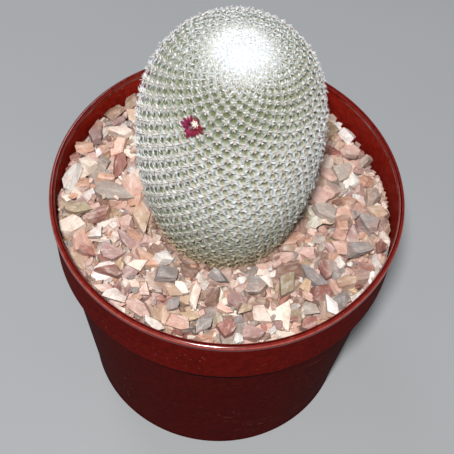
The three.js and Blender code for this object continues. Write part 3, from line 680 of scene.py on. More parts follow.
def make_skin():
    rows = np.arange(0.6, OUTLINE.arc[-1], SKIN_STEP)
    arc, column = np.meshgrid(rows, np.arange(SKIN_COLUMNS), indexing="ij")
    turn = (column + 0.5 * (np.arange(len(rows)) % 2)[:, None]) / SKIN_COLUMNS * 2 * math.pi
    arc, turn = arc.ravel(), turn.ravel()
    surface = stem_point(arc, turn, AREOLE_DEPTH)
    areole, pit = nearest(AREOLES.place, surface), nearest(PITS, surface)
    offset = surface - AREOLES.place[areole]
    aside = np.abs(dot(offset, AREOLES.across[areole]))
    along = np.abs(dot(offset, AREOLES.up[areole]))
    half_width, half_height = pit_half_axes(AREOLES.arc, AREOLES.pitch)
    offset = surface - PITS[pit]
    from_pit = np.hypot(dot(offset, AREOLES.across[pit]) / half_width[pit],
                        dot(offset, AREOLES.up[pit]) / half_height[pit])
    size = np.clip(AREOLES.pitch[areole] / FULL_PITCH, 0.2, 1)
    saddle = smoothstep(np.hypot(aside, along) / size, 1.3, 2.5)
    pit_depth = lerp(lerp(COMB_DEPTH, SADDLE_DEPTH, size * saddle), FURROW_DEPTH,
                     size * (1 - smoothstep(from_pit, 0.4, 1.3)))
    mound = np.exp(-(np.hypot(aside, np.maximum(along - 0.8, 0)) / 1.0) ** 2)
    points = stem_point(arc, turn, pit_depth - (COMB_DEPTH - AREOLE_DEPTH) * mound)
    height = surface[:, 2]
    under_comb = tint(SKIN_UNDER_YOUNG_COMB, SKIN_UNDER_COMB, smoothstep(arc, 28, 52))
    under_comb = tint(under_comb, SKIN_SADDLE, 0.8 * saddle)
    # Darker down the stem: partly the older skin, partly painted shade.
    under_comb = tint(under_comb, SKIN_LOW_AND_SHADE, 0.75 * smoothstep(height, *SKIN_LOW_AND_SHADE_HEIGHTS))
    under_comb = tint(under_comb, SKIN_OLD, 0.85 * smoothstep(height, *SKIN_OLD_HEIGHTS))
    tone = tint(SKIN_FURROW, SKIN_GREEN, smoothstep(from_pit, 0.2, 0.8))
    tone = tint(tone, under_comb, smoothstep(from_pit, 0.95, 1.3))
    ridge = np.exp(-((aside / 0.3) ** 2)) * (1 - smoothstep(along, 0.6, 1.2))
    tone = tint(tone, SKIN_AREOLE, ridge * 0.9)
    # Near the growing point the skin turns white: partly the real wool, partly a painted highlight
    # on the crown.
    tone = tint(tone, CROWN_WOOL_AND_HIGHLIGHT, 0.3 * smoothstep(arc, 18, 10) + 0.7 * smoothstep(arc, 12, 6))
    ends = [points[:SKIN_COLUMNS].mean(axis=0), [STEM_X, STEM_Y, STEM_FOOT_HEIGHT]]
    points, triangles = closed_body(points, SKIN_COLUMNS, ends, downward=True)
    tone = np.vstack([tone, [CROWN_WOOL_AND_HIGHLIGHT, SKIN_OLD]])
    skin = add_mesh("cactus_skin", points, triangles, skin_material(), tone)
    return dress(skin, "cactus", "cactus")


# Spines: slim three-sided needles with one bend, drawn out to a point.
SPINE_WHITE = srgb(239, 243, 247)
SPINE_SHADE = srgb(212, 215, 212)
SPINE_ROOT = srgb(226, 217, 206)
SPINE_TAN = srgb(158, 90, 44)
SPINE_GREY_AND_SHADE = srgb(164, 163, 142)
SPINE_OLD = srgb(214, 186, 142)
NEEDLE_FACES = np.array([
    (0, 1, 4), (0, 4, 3), (1, 2, 5), (1, 5, 4), (2, 0, 3), (2, 3, 5),
    (3, 4, 6), (4, 5, 6), (5, 3, 6), (0, 2, 1),
])

# How far along a needle its bend lies.
NEEDLE_BEND = 0.7

# The radial spines lie in two fans to an areole, up to this many degrees from straight across.
SPINES_PER_SIDE = 25
FAN_ANGLE = 80
SPINE_LENGTH = 2.95
SPINE_RADIUS = 0.122
FULL_RADIUS_LENGTH = 2.8
RAISED_SHARE = 0.21
RAISED_DEGREES = (8, 30)
SPINE_ZONES = {"crown": (0, 42), "shoulder": (42, 64), "middle": (64, 90), "foot": (90, 1000)}

CENTRAL_SPINES = 2
CENTRAL_LENGTHS = (1.0, 1.7)
CENTRAL_RADIUS = 0.125

CROWN_WOOL_HAIRS = 3600
CROWN_WOOL_SPREAD = 4.5
CROWN_WOOL_LENGTHS = (1.3, 2.1)
CROWN_WOOL_RADIUS = 0.085
CROWN_WOOL_TOP = STEM_TOP + 0.9


def spine_material():
    shader = Shader("cactus_spines")
    grain = shader.noise(shader.place(), 2600, 2)
    colour = shader.darken(shader.attribute("Tone"), grain, 0.3, 0.7, (0.83, 0.84, 0.84), 0.2)
    shader.set(Base_Color=colour, Roughness=0.42, Specular_IOR_Level=0.3)
    return shader.material


def needles(base, along, bend, length, radius, tones):
    """Points, triangles and colours of many needles. The tip swings by bend."""
    count = len(base)
    length, radius = np.broadcast_to(length, count), np.broadcast_to(radius, count)
    aside = unit(np.cross(along, bend))
    over = unit(np.cross(aside, along))
    points, colours = np.empty((2, count, 7, 3))
    length, radius = length[:, None], radius[:, None]
    middle = base + (along + bend * NEEDLE_BEND) * (NEEDLE_BEND * length)
    for i in range(3):
        angle = i / 3 * 2 * math.pi
        ring = aside * math.cos(angle) + over * math.sin(angle)
        points[:, i] = base + ring * radius
        points[:, i + 3] = middle + ring * (0.9 * radius)
    points[:, 6] = base + (along + bend) * length
    for station, tone in zip((slice(0, 3), slice(3, 6), slice(6, 7)), tones):
        colours[:, station] = np.broadcast_to(tone, (count, 3))[:, None]
    faces = NEEDLE_FACES[None] + np.arange(count)[:, None, None] * 7
    return [values.reshape(-1, 3) for values in (points, faces, colours)]


def add_needles(name, material, keep, base, along, bend, length, radius, tones):
    """One piece of the needles that are kept."""
    def kept(values):
        return values.reshape(-1, values.shape[-1])[keep.ravel()]

    points, faces, colours = needles(kept(base), kept(along), kept(bend), length[keep], radius,
                                     [kept(tone) for tone in tones])
    return add_mesh(name, points, faces, material, colours)


def spine_scale():
    return np.clip((AREOLES.pitch / FULL_PITCH) ** 0.9, 0.45, 1)


def aged_and_shaded(tone, height):
    """A spine's colour, greyer and darker down the stem, partly with age and partly as painted
    shade, and brown with dust just above the stones.
    """
    grey = tint(tone, SPINE_GREY_AND_SHADE, 0.6 * smoothstep(height, *SPINE_GREY_AND_SHADE_HEIGHTS))
    return tint(grey, SPINE_OLD, 0.7 * smoothstep(height, *SPINE_OLD_HEIGHTS))


def free_length(base, way):
    """How far the spines can lie over the skin before they reach one of the pits."""
    half_width, half_height = (axis[:, None] for axis in pit_half_axes(AREOLES.arc, AREOLES.pitch))
    across, up = AREOLES.across[:, None], AREOLES.up[:, None]
    way_x, way_y = dot(way, across) / half_width, dot(way, up) / half_height
    speed = way_x ** 2 + way_y ** 2
    free = np.full(base.shape[:2], np.inf)
    for step in PIT_STEPS:
        pit = np.arange(len(AREOLES.arc)) + step
        real = (pit >= 0) & (pit < len(PITS))
        offset = base - PITS[np.clip(pit, 0, len(PITS) - 1)][:, None]
        x, y = dot(offset, across) / half_width, dot(offset, up) / half_height
        toward = -(x * way_x + y * way_y)
        inside = toward ** 2 - speed * (x ** 2 + y ** 2 - 1)
        meeting = (toward - np.sqrt(np.maximum(inside, 0))) / speed
        blocked = real[:, None] & (inside > 0) & (toward > 0)
        free = np.where(blocked, np.minimum(free, np.maximum(meeting, 0)), free)
    return free


def radial_spines(random):
    """Combs of spines that lie round each areole and end at the pits.

    The spines that have no pit in their way are left out.
    """
    step = np.linspace(-1, 1, SPINES_PER_SIDE)
    shape = (len(AREOLES.arc), 2 * SPINES_PER_SIDE)
    share = np.tile(step, 2)[None] + random.uniform(-0.06, 0.06, shape)
    side = np.repeat([-1, 1], SPINES_PER_SIDE)[None]
    scale = spine_scale()[:, None]
    crown = smoothstep(AREOLES.arc, 34, 8)[:, None]
    angle = np.sign(share) * np.abs(share) ** 1.15 * FAN_ANGLE + random.uniform(-4, 4, shape)
    angle = np.radians(angle)
    raised = random.uniform(0, 1, shape) < RAISED_SHARE
    raised = np.where(raised, random.uniform(*RAISED_DEGREES, shape), 0)
    lift = np.radians(lerp(8, 16, smoothstep(AREOLES.arc, 80, 40))[:, None]
                      + random.uniform(-4, 6, shape) + raised)

    def each(vectors):
        return vectors[:, None, :]

    flat = unit(each(AREOLES.across) * (side * np.cos(angle))[..., None]
                + each(AREOLES.up) * (np.sin(angle) + 0.5 * crown)[..., None])
    along = unit(flat * np.cos(lift)[..., None] + each(AREOLES.out) * np.sin(lift)[..., None])
    base = (each(AREOLES.place) + each(AREOLES.up) * (share * 0.95 * scale)[..., None]
            + each(AREOLES.across) * (side * 0.14 * scale)[..., None] - each(AREOLES.out) * 0.05)
    length = SPINE_LENGTH * scale * random.uniform(0.88, 1.14, shape)
    free = free_length(base, flat)
    meets_pit = np.isfinite(free)
    free = np.where(meets_pit, free, 0) * random.uniform(0.92, 1.16, shape) / np.cos(lift)
    length = np.minimum(length, lerp(np.maximum(free, 0.45), length, smoothstep(crown, 0.3, 0.8)))
    bend = (each(AREOLES.up) * (0.06 * share)[..., None]
            - each(AREOLES.out) * random.uniform(0.04, 0.16, shape)[..., None])
    arc = np.broadcast_to(AREOLES.arc[:, None], shape)
    worn = lerp(1, 0.62, smoothstep(AREOLES.arc, 80, 102))
    worn = worn * np.clip(AREOLES.pitch / FULL_PITCH, 0.3, 1)
    kept = meets_pit & (random.uniform(0, 1, shape) < worn[:, None])
    return base, along, bend, length, arc, kept


def make_spines(random):
    base, along, bend, length, arc, kept = radial_spines(random)
    height = base[..., 2]
    shade = random.uniform(0, 0.5, height.shape)
    root = tint(SPINE_ROOT, SPINE_WHITE, smoothstep(arc, 36, 16))
    middle, tip = (tint(SPINE_WHITE, SPINE_SHADE, shade * share) for share in (1, 0.5))
    tones = [aged_and_shaded(tone, height) for tone in (root, middle, tip)]
    clear = away_from_flower(base, base + along * length[..., None])
    material = spine_material()
    pieces = []
    for zone, (first, last) in SPINE_ZONES.items():
        keep = clear & kept & (arc >= first) & (arc < last)
        radius = SPINE_RADIUS * np.clip(length[keep] / FULL_RADIUS_LENGTH, 0.75, 1)
        pieces.append(add_needles(f"spines_{zone}", material, keep, base, along, bend, length,
                                  radius, tones))
    pieces.append(make_central_spines(random, material))
    pieces.append(make_crown_wool(random, material))
    return [dress(piece, "cactus", "cactus") for piece in pieces]


def make_central_spines(random, material):
    shape = (len(AREOLES.arc), CENTRAL_SPINES)
    share = np.linspace(-1, 1, CENTRAL_SPINES)[None] + random.uniform(-0.12, 0.12, shape)
    scale = spine_scale()[:, None]
    crown = smoothstep(AREOLES.arc, 27, 14)[:, None]
    out, across, up = AREOLES.out[:, None], AREOLES.across[:, None], AREOLES.up[:, None]
    sway = random.uniform(-0.22, 0.22, shape)
    along = unit(out + up * (1.1 * share + 0.5 * crown)[..., None] + across * sway[..., None])
    base = AREOLES.place[:, None] + up * (share * 0.55 * scale)[..., None]
    length = random.uniform(*CENTRAL_LENGTHS, shape) * scale
    bend = up * random.uniform(-0.25, 0.25, shape)[..., None]
    keep = away_from_flower(base, base + along * length[..., None])
    pale = np.maximum(crown, random.uniform(0, 0.2, shape))
    tip = tint(SPINE_TAN, SPINE_WHITE, pale)
    root = tint(lerp(SPINE_ROOT, SPINE_TAN, 0.3), SPINE_WHITE, pale)
    tones = [aged_and_shaded(tone, base[..., 2]) for tone in (root, lerp(root, tip, 0.75), tip)]
    return add_needles("spines_central", material, keep, base, along, bend, length,
                       CENTRAL_RADIUS, tones)


def make_crown_wool(random, material):
    """Fine white wool and young spines that stand over the growing point."""
    count = CROWN_WOOL_HAIRS
    radius = np.minimum(random.rayleigh(CROWN_WOOL_SPREAD, count), 3 * CROWN_WOOL_SPREAD)
    turn = random.uniform(0, 2 * math.pi, count)
    arc, turn = drawn_place(np.maximum(radius, OUTLINE.arc[0]), turn)
    out, across, up = stem_axes(arc, turn)
    lean = random.normal(0, 0.55, (count, 2))
    inward = smoothstep(radius, 0, 12)[:, None]
    along = unit(out + across * lean[:, :1] + up * (lean[:, 1:] + 0.8 * inward))
    length = random.uniform(*CROWN_WOOL_LENGTHS, count)
    bend = unit(random.normal(0, 1, (count, 3))) * 0.25
    points, faces, tones = needles(stem_point(arc, turn, 1.6), along, bend, length,
                                   CROWN_WOOL_RADIUS, [SPINE_WHITE] * 3)
    points[:, 2] = np.minimum(points[:, 2], CROWN_WOOL_TOP)
    return add_mesh("crown_wool", points, faces, material, tones)


# The flower.
Tepal = namedtuple("Tepal", "heading length width height lift")
TEPALS = [Tepal(*row) for row in (
    (-98, 4.3, 1.5, 0.75, 6), (-122, 3.1, 1.3, 0.7, 6), (-76, 2.9, 1.3, 0.8, 10),
    (-150, 2.8, 1.3, 0.75, 8), (-172, 3.6, 1.5, 0.75, 6), (163, 3.1, 1.4, 0.8, 10),
    (138, 2.3, 1.3, 0.8, 14), (113, 2.9, 1.2, 0.75, 12), (90, 2.1, 1.2, 0.85, 16),
    (66, 2.7, 1.2, 0.75, 14), (40, 2.0, 1.2, 0.8, 14), (17, 3.0, 1.2, 0.75, 8),
    (-6, 3.6, 1.2, 0.8, 8), (-30, 2.3, 1.2, 0.75, 12), (-53, 2.8, 1.2, 0.8, 10),
    (-106, 2.5, 1.6, 1.0, 26), (-176, 2.4, 1.5, 1.0, 28), (124, 2.0, 1.4, 1.05, 34),
    (66, 2.0, 1.4, 1.05, 34), (12, 2.3, 1.4, 1.0, 28), (-48, 2.0, 1.4, 1.05, 32),
    (44, 1.8, 1.2, 1.15, 50), (-76, 1.8, 1.2, 1.15, 50), (154, 1.8, 1.2, 1.15, 50),
)]
TEPAL_STATIONS = 9
TEPAL_ACROSS = 5
TEPAL_ROOT_RADIUS = 1.2
STIGMA_LOBES = 6
STAMENS = 20
TUFT_LEAN = np.array([0.5, 0.85, 0])
TUFT_SPREAD = np.array([1.45, 1.45, 1])
MAGENTA = srgb(120, 4, 64)
CRIMSON = srgb(120, 4, 26)
MAGENTA_DARK = srgb(82, 5, 32)
MAGENTA_PALE = srgb(158, 44, 88)
STIGMA_CREAM = srgb(255, 238, 222)
ANTHER_CREAM = srgb(250, 224, 198)


def flower_frame():
    arc, turn = np.array([FLOWER_ARC]), np.array([FLOWER_TURN])
    out, across, up = (axis[0] for axis in stem_axes(arc, turn))
    return stem_point(arc, turn, AREOLE_DEPTH)[0], across, up, out


FLOWER_PLACE, FLOWER_ACROSS, FLOWER_UP, FLOWER_OUT = flower_frame()

# Spines keep this far from the flower's axis with their bases and with their tips.
CLEAR_OF_BASES = 2.3
CLEAR_OF_TIPS = 2.9


def away_from_flower(base, tip):
    """True for the spines that leave the flower's mouth and tepals free."""
    def reach(points):
        offset = points - FLOWER_PLACE
        height = offset @ FLOWER_OUT
        return np.linalg.norm(offset - height[..., None] * FLOWER_OUT, axis=-1)
    return (reach(base) > CLEAR_OF_BASES) & (reach(tip) > CLEAR_OF_TIPS)


def on_flower(points):
    return (FLOWER_PLACE + points[:, :1] * FLOWER_ACROSS + points[:, 1:2] * FLOWER_UP
            + points[:, 2:] * FLOWER_OUT)


def flower_material(name, roughness):
    shader = Shader(name)
    streaks = shader.noise(shader.place(), 1800, 3)
    colour = shader.darken(shader.attribute("Tone"), streaks, 0.3, 0.75, (0.72, 0.6, 0.66), 0.3)
    shader.set(Base_Color=colour, Roughness=roughness, Subsurface_Weight=0.12,
               Subsurface_Scale=0.5 * MM)
    shader.bump(streaks, 0.03)
    return shader.material


def tepal(shape):
    """One closed blade with a keel, a drawn-out point and a backward curve."""
    turn, lift = math.radians(shape.heading), math.radians(shape.lift)
    half = np.linspace(-1, 1, TEPAL_ACROSS)
    across, face = np.concatenate([half, half[::-1]]), np.repeat([1, -1], TEPAL_ACROSS)
    edge = np.abs(across)
    share = np.linspace(0, 1, TEPAL_STATIONS)[:, None]
    width = np.maximum(shape.width * (0.55 + 0.9 * share) * (1 - share ** 2.2) ** 0.75, 0.06)
    thickness = 0.1 * (1 - 0.75 * edge) * (1 - 0.6 * share)
    curl = -0.14 * shape.length * share ** 2.4
    x, y = shape.length * share, 0.5 * across * width
    z = 0.16 * across ** 2 * width + face * thickness + curl
    x, z = (x * math.cos(lift) - z * math.sin(lift) + TEPAL_ROOT_RADIUS,
            x * math.sin(lift) + z * math.cos(lift) + shape.height)
    x, y = x * math.cos(turn) - y * math.sin(turn), x * math.sin(turn) + y * math.cos(turn)
    points = np.stack([x, y, z], axis=-1).reshape(-1, 3)
    dark = np.minimum(0.6 * np.maximum(1 - 2.2 * share, 0) + 0.5 * (edge < 0.2), 1)
    tones = tint(lerp(MAGENTA, CRIMSON, 0.5 + 0.5 * math.cos(turn)), MAGENTA_DARK, dark)
    tones = tint(tones, MAGENTA_PALE, 0.55 * edge * share).reshape(-1, 3)
    ring = len(across)
    quads = bands(range(0, len(points), ring), ring)
    step = np.arange(1, ring - 1)
    fan = np.stack([0 * step, step, step + 1], 1)
    ends = [fan, fan[:, ::-1] + len(points) - ring]
    return points, np.vstack([quads[:, [0, 1, 2]], quads[:, [0, 2, 3]], *ends]), tones


def lathe(profile, sides, tone):
    """A closed body of revolution about the flower's axis, from axis to axis."""
    radius, height = np.split(np.array(profile, float), 2, axis=1)
    points, faces = closed_body(turned_points(radius[1:-1], height[1:-1], sides), sides,
                                [[0, 0, *height[0]], [0, 0, *height[-1]]])
    return points, faces, np.tile(tone, (len(points), 1))


def make_flower():
    tube = [(0, -3.4), (1.1, -3.4), (1.25, -1.2), (2.0, 0.9), (1.9, 1.25), (1.45, 1.2), (0.9, 0.3),
            (0, 0.2)]
    points, faces, tones = joined([lathe(tube, 20, MAGENTA_DARK), *map(tepal, TEPALS)])
    material = flower_material("tepals", 0.5)
    dress(add_mesh("flower_tepals", on_flower(points), faces, material, tones), "flower", "flower")


def make_stamens(random):
    style = [(0, 0.3), (0.2, 0.3), (0.16, 1.6), (0.3, 1.95), (0.2, 2.1), (0, 2.15)]
    parts = [lathe(style, 10, STIGMA_CREAM)]
    lobe = [(0, 0), (0.16, 0.1), (0.19, 0.45), (0.13, 0.8), (0, 0.9)]
    for turn in np.arange(STIGMA_LOBES) / STIGMA_LOBES * 2 * math.pi:
        points, faces, tones = lathe(lobe, 8, STIGMA_CREAM)
        way = unit(on_circle(turn, 1, 0.35))
        parts.append((turned_to(points, way) + [0, 0, 1.85], faces, tones))
    anther = [(0, -0.16), (0.12, -0.1), (0.15, 0.04), (0.08, 0.16), (0, 0.19)]
    for i in range(STAMENS):
        turn = i * math.pi * (3 - math.sqrt(5))
        foot = on_circle(turn, 0.6, 0.4)
        top = on_circle(turn, 0.55 + 0.45 * (i % 3) / 2, random.uniform(1.25, 1.7))
        parts.append(needles(foot[None], unit(top - foot)[None], np.array([[0, 0, 0.02]]),
                             np.linalg.norm(top - foot), 0.06, [ANTHER_CREAM] * 3))
        points, faces, tones = lathe(anther, 6, ANTHER_CREAM)
        parts.append((points + top, faces, tones))
    points, faces, tones = joined(parts)
    points = on_flower(points * TUFT_SPREAD + points[:, 2:] * TUFT_LEAN)
    tuft = add_mesh("flower_stamens", points, faces, flower_material("stamens", 0.55), tones)
    return dress(tuft, "stamens", "stamens")


def turned_to(points, way):
    """Turns points whose long axis is Z until it lies along a direction."""
    side = unit(np.cross([0, 0, 1.0], way) + [1e-6, 0, 0])
    return points[:, :1] * side + points[:, 1:2] * np.cross(way, side) + points[:, 2:] * way


# The stones: colours as a screen shows them, and how common each is among the stones that
# aren't listed one by one.
STONE_COLOURS = {
    "white": (246, 240, 232, 5),
    "cream": (238, 219, 203, 13),
    "pink": (212, 176, 164, 20),
    "salmon": (216, 172, 153, 13),
    "orange": (206, 158, 130, 5),
    "ochre": (192, 162, 124, 5),
    "tan": (192, 164, 138, 10),
    "olive": (158, 142, 112, 3),
    "grey": (170, 158, 148, 9),
    "slate": (148, 142, 140, 5),
    "mauve": (168, 134, 130, 9),
    "brick": (158, 98, 86, 6),
    "brown": (146, 112, 94, 5),
}
STONE_STAINS = [(178, 124, 98), (150, 112, 92), (156, 146, 138), (206, 164, 140), (128, 96, 84)]
STONE_DUST = srgb(240, 226, 214)
CHIP_COLOURS = ["white", "cream", "cream", "tan", "orange", "pink", "brown", "brick"]

# Stones that stand out in the photograph: the centre in its pixels, the length and the
# width in millimetres, the direction of the length in degrees from the right, and a colour.
Landmark = namedtuple("Landmark", "px py length width heading colour")
LANDMARKS = [Landmark(*row) for row in (
    (129, 97, 10, 8, 80, "tan"), (112, 111, 11, 9, 20, "tan"), (96, 134, 15, 6, 95, "mauve"),
    (121, 132, 11, 7, -10, "cream"), (84, 149, 9, 8, 30, "orange"), (87, 165, 11, 6, -20, "cream"),
    (71, 179, 13, 8, 70, "white"), (102, 162, 10, 7, 40, "grey"), (119, 162, 14, 6, 75, "brick"),
    (104, 178, 9, 5, 0, "orange"), (114, 192, 20, 8, -12, "grey"), (78, 209, 13, 6, 5, "olive"),
    (99, 215, 13, 7, 25, "brick"), (142, 219, 19, 8, 105, "tan"), (126, 223, 8, 6, 10, "pink"),
    (71, 225, 13, 12, 40, "cream"), (96, 234, 10, 6, 50, "white"), (84, 250, 10, 5, -15, "brick"),
    (110, 253, 13, 9, 10, "mauve"), (110, 269, 16, 7, -5, "brick"), (141, 266, 10, 7, 30, "cream"),
    (163, 259, 8, 6, -20, "white"), (192, 266, 12, 7, 0, "brown"), (116, 296, 14, 6, -10, "white"),
    (146, 290, 9, 7, 75, "pink"), (166, 277, 11, 9, 20, "slate"), (195, 295, 13, 6, 80, "cream"),
    (212, 295, 10, 8, 60, "brown"), (217, 278, 11, 6, -30, "slate"),
    (189, 313, 11, 6, -15, "ochre"), (174, 305, 9, 7, 60, "slate"),
    (154, 326, 11, 6, -25, "white"), (178, 326, 12, 8, -20, "salmon"),
    (226, 330, 8, 8, 80, "brick"), (205, 327, 11, 5, 35, "slate"), (237, 342, 7, 5, 85, "white"),
    (284, 256, 12, 5, 8, "pink"), (296, 238, 10, 7, 25, "orange"),
    (341, 233, 12, 10, 15, "salmon"), (360, 251, 15, 8, 15, "slate"),
    (381, 247, 8, 7, 60, "brick"), (325, 274, 9, 6, -60, "brick"), (341, 263, 6, 4, -20, "white"),
    (351, 262, 5, 3, 0, "white"), (257, 287, 11, 9, 0, "slate"), (286, 289, 15, 8, 70, "olive"),
    (245, 311, 9, 6, 45, "ochre"), (330, 310, 11, 6, -55, "white"), (359, 296, 8, 6, 40, "white"),
    (287, 335, 11, 4, -5, "cream"), (308, 324, 9, 7, 30, "brick"), (341, 301, 9, 7, 60, "slate"),
    (253, 333, 9, 7, 20, "mauve"), (348, 136, 9, 6, 0, "cream"), (350, 151, 11, 6, 5, "pink"),
    (341, 173, 10, 10, 20, "grey"), (369, 161, 10, 6, 80, "cream"), (367, 181, 9, 7, 10, "orange"),
    (329, 193, 9, 7, 30, "pink"), (324, 214, 12, 7, -10, "grey"), (372, 199, 11, 8, 60, "grey"),
    (370, 225, 12, 8, -40, "slate"), (342, 228, 9, 8, 0, "orange"), (347, 283, 11, 6, 30, "tan"),
    (362, 275, 11, 7, 50, "pink"), (131, 170, 4, 3, 70, "white"),
)]

GRID_STEP = 0.5
GRID_HALF = 72
STONE_FLOOR_BELOW = 10
STONE_CLEARANCE = 0.4

# A stone rests where this share of the heap below it would be level with it or lower.
LAID_ON = 0.8
STONE_THICKEST = 3.6

# A listed stone without room moves away from the stem within this distance, else towards it.
NEAR_STEM = 45

# The share of the stones, the first that are laid, that make up the lower of the two pieces.
LOWER_SHARE = 0.43

# The grit lies this far below the stones' level, at the stem's foot and further out.
GRIT_BELOW = (2.2, 6.5)
GRIT_SPOKES = 180
GRIT_RINGS = 34
GRIT_WALL_HEIGHT = 97
GRIT_FOOT_HEIGHT = SOIL_TOP + 0.3
GRIT_UNDER_STEM = 3
GRIT_ROUGHNESS = 0.9

# Rounds of filling: how many tries, the stones' lengths, how wide an area decides where the
# next one goes, how far it may stand above the level, and the need at which a round ends.
FillRound = namedtuple("FillRound", "tries lengths blur limit enough")
FILL_ROUNDS = [
    FillRound(260, (7, 12), 6, -2.5, 4.0),
    FillRound(420, (10, 16), 6, 1.5, 1.0),
    FillRound(420, (6, 10), 3, 1.3, 1.5),
    FillRound(500, (3, 6), 2, 0.6, 2.0),
]
LANDMARK_STEPS = 6
CHIPS = 600
CHIP_LENGTHS = (1.3, 3.2)
FOOT_CHIPS = 300
FOOT_CHIP_LENGTHS = (3, 7)
FOOT_CHIP_COLOURS = ["brown", "brick", "tan", "orange", "pink", "cream", "tan"]


def from_foot(x, y):
    """The distance from the side of the stem's foot."""
    return np.hypot(x - STEM_X, y - STEM_Y) - STEM_LOW_RADIUS


def stone_level(x, y):
    """The height that the stones are heaped to."""
    outward = np.clip(from_foot(x, y) / (RIM_RADIUS - STEM_LOW_RADIUS), 0, 1)
    slope = STONE_SLOPE * np.cos(np.arctan2(y, x) - STONE_HIGH_SIDE) * outward
    return lerp(STONE_LEVEL_AT_STEM, STONE_LEVEL_AT_WALL, outward) + slope


def wall_radius(height):
    """The pot's inner radius at a height within its collar and just below it."""
    collar_foot, lip_foot = POT_HEIGHT - COLLAR_HEIGHT, POT_HEIGHT - LIP_HEIGHT
    heights = [SOIL_TOP - 5, collar_foot - WALL, collar_foot + WALL, lip_foot]
    radii = [BODY_TOP_RADIUS - 0.3, BODY_TOP_RADIUS, COLLAR_FOOT_RADIUS, RIM_RADIUS - LIP_OVERHANG]
    return np.interp(height, heights, radii) - WALL


def stone_hull(length, width, thickness, random):
    """An angular flat stone: the hull of two uneven rings of corners and two points on top."""
    corners = random.integers(4, 7)
    turns = (np.arange(corners) + random.uniform(-0.42, 0.42, corners)) / corners * 2 * math.pi
    reach = random.uniform(0.68, 1.16, corners)
    points = []
    for level, scale in ((-0.5, 0.94), (0.5, 0.94)):
        own = reach * scale * random.uniform(0.84, 1.06, corners)
        tilt = random.uniform(-0.18, 0.18, 2)
        x, y = own * np.cos(turns), own * np.sin(turns)
        z = level + tilt[0] * x + tilt[1] * y + random.uniform(-0.05, 0.05, corners)
        points.append(np.column_stack([0.5 * length * x, 0.5 * width * y, thickness * z]))
    knob = random.uniform(-0.45, 0.45, (2, 2))
    points.append(np.column_stack([0.5 * length * knob[:, 0], 0.5 * width * knob[:, 1],
                                   thickness * random.uniform(0.5, 0.62, 2)]))
    shape = bmesh.new()
    for point in np.vstack(points):
        shape.verts.new(point)
    made = bmesh.ops.convex_hull(shape, input=shape.verts, use_existing_faces=False)
    spare = [item for item in dict.fromkeys(made["geom_interior"] + made["geom_unused"])
             if isinstance(item, bmesh.types.BMVert)]
    bmesh.ops.delete(shape, geom=spare, context="VERTS")
    bmesh.ops.dissolve_limit(shape, angle_limit=math.radians(6), verts=shape.verts,
                             edges=shape.edges)
    bmesh.ops.recalc_face_normals(shape, faces=shape.faces)
    return shape


def stone_planes(shape):
    """The outward normals and offsets of a stone's faces."""
    shape.normal_update()
    normals = np.array([face.normal[:] for face in shape.faces])
    offsets = np.array([face.normal.dot(face.calc_center_median()) for face in shape.faces])
    return normals, offsets


# Three waves that roughen a stone, one to a column, and how high they stand.
STONE_WAVES = np.array([(1.1, -0.8, 2.3), (0.7, 1.3, 1.9), (1.6, 2.1, -1.2)])
STONE_WAVE_HEIGHTS = np.array([0.05, 0.05, 0.03])


def finished_stone(shape, random):
    """The stone's points and triangles, with worn edges and a fractured surface."""
    bmesh.ops.bevel(shape, geom=list(shape.edges), offset=0.05, segments=1, affect="EDGES",
                    clamp_overlap=True)
    bmesh.ops.triangulate(shape, faces=shape.faces)
    for longest in (5, 2.6):
        edges = [edge for edge in shape.edges if edge.calc_length() > longest]
        bmesh.ops.subdivide_edges(shape, edges=edges, cuts=1)
        bmesh.ops.triangulate(shape, faces=shape.faces)
    shape.verts.ensure_lookup_table()
    points = np.array([vertex.co[:] for vertex in shape.verts])
    faces = np.array([[vertex.index for vertex in face.verts] for face in shape.faces])
    shape.free()
    # Six values are drawn for three waves, and the last three go unused; the later draws follow on
    # from all six.
    phase = random.uniform(0, 6.28, 6)[:3]
    wave = np.sin(points @ STONE_WAVES + phase) @ STONE_WAVE_HEIGHTS
    points = points + unit(points) * wave[:, None] + random.uniform(-0.1, 0.1, points.shape)
    return points, faces


def rotation(heading, tilt_x, tilt_y):
    turn = Matrix.Rotation(heading, 3, "Z")
    lean = Matrix.Rotation(tilt_x, 3, "X") @ Matrix.Rotation(tilt_y, 3, "Y")
    return np.array(lean @ turn)


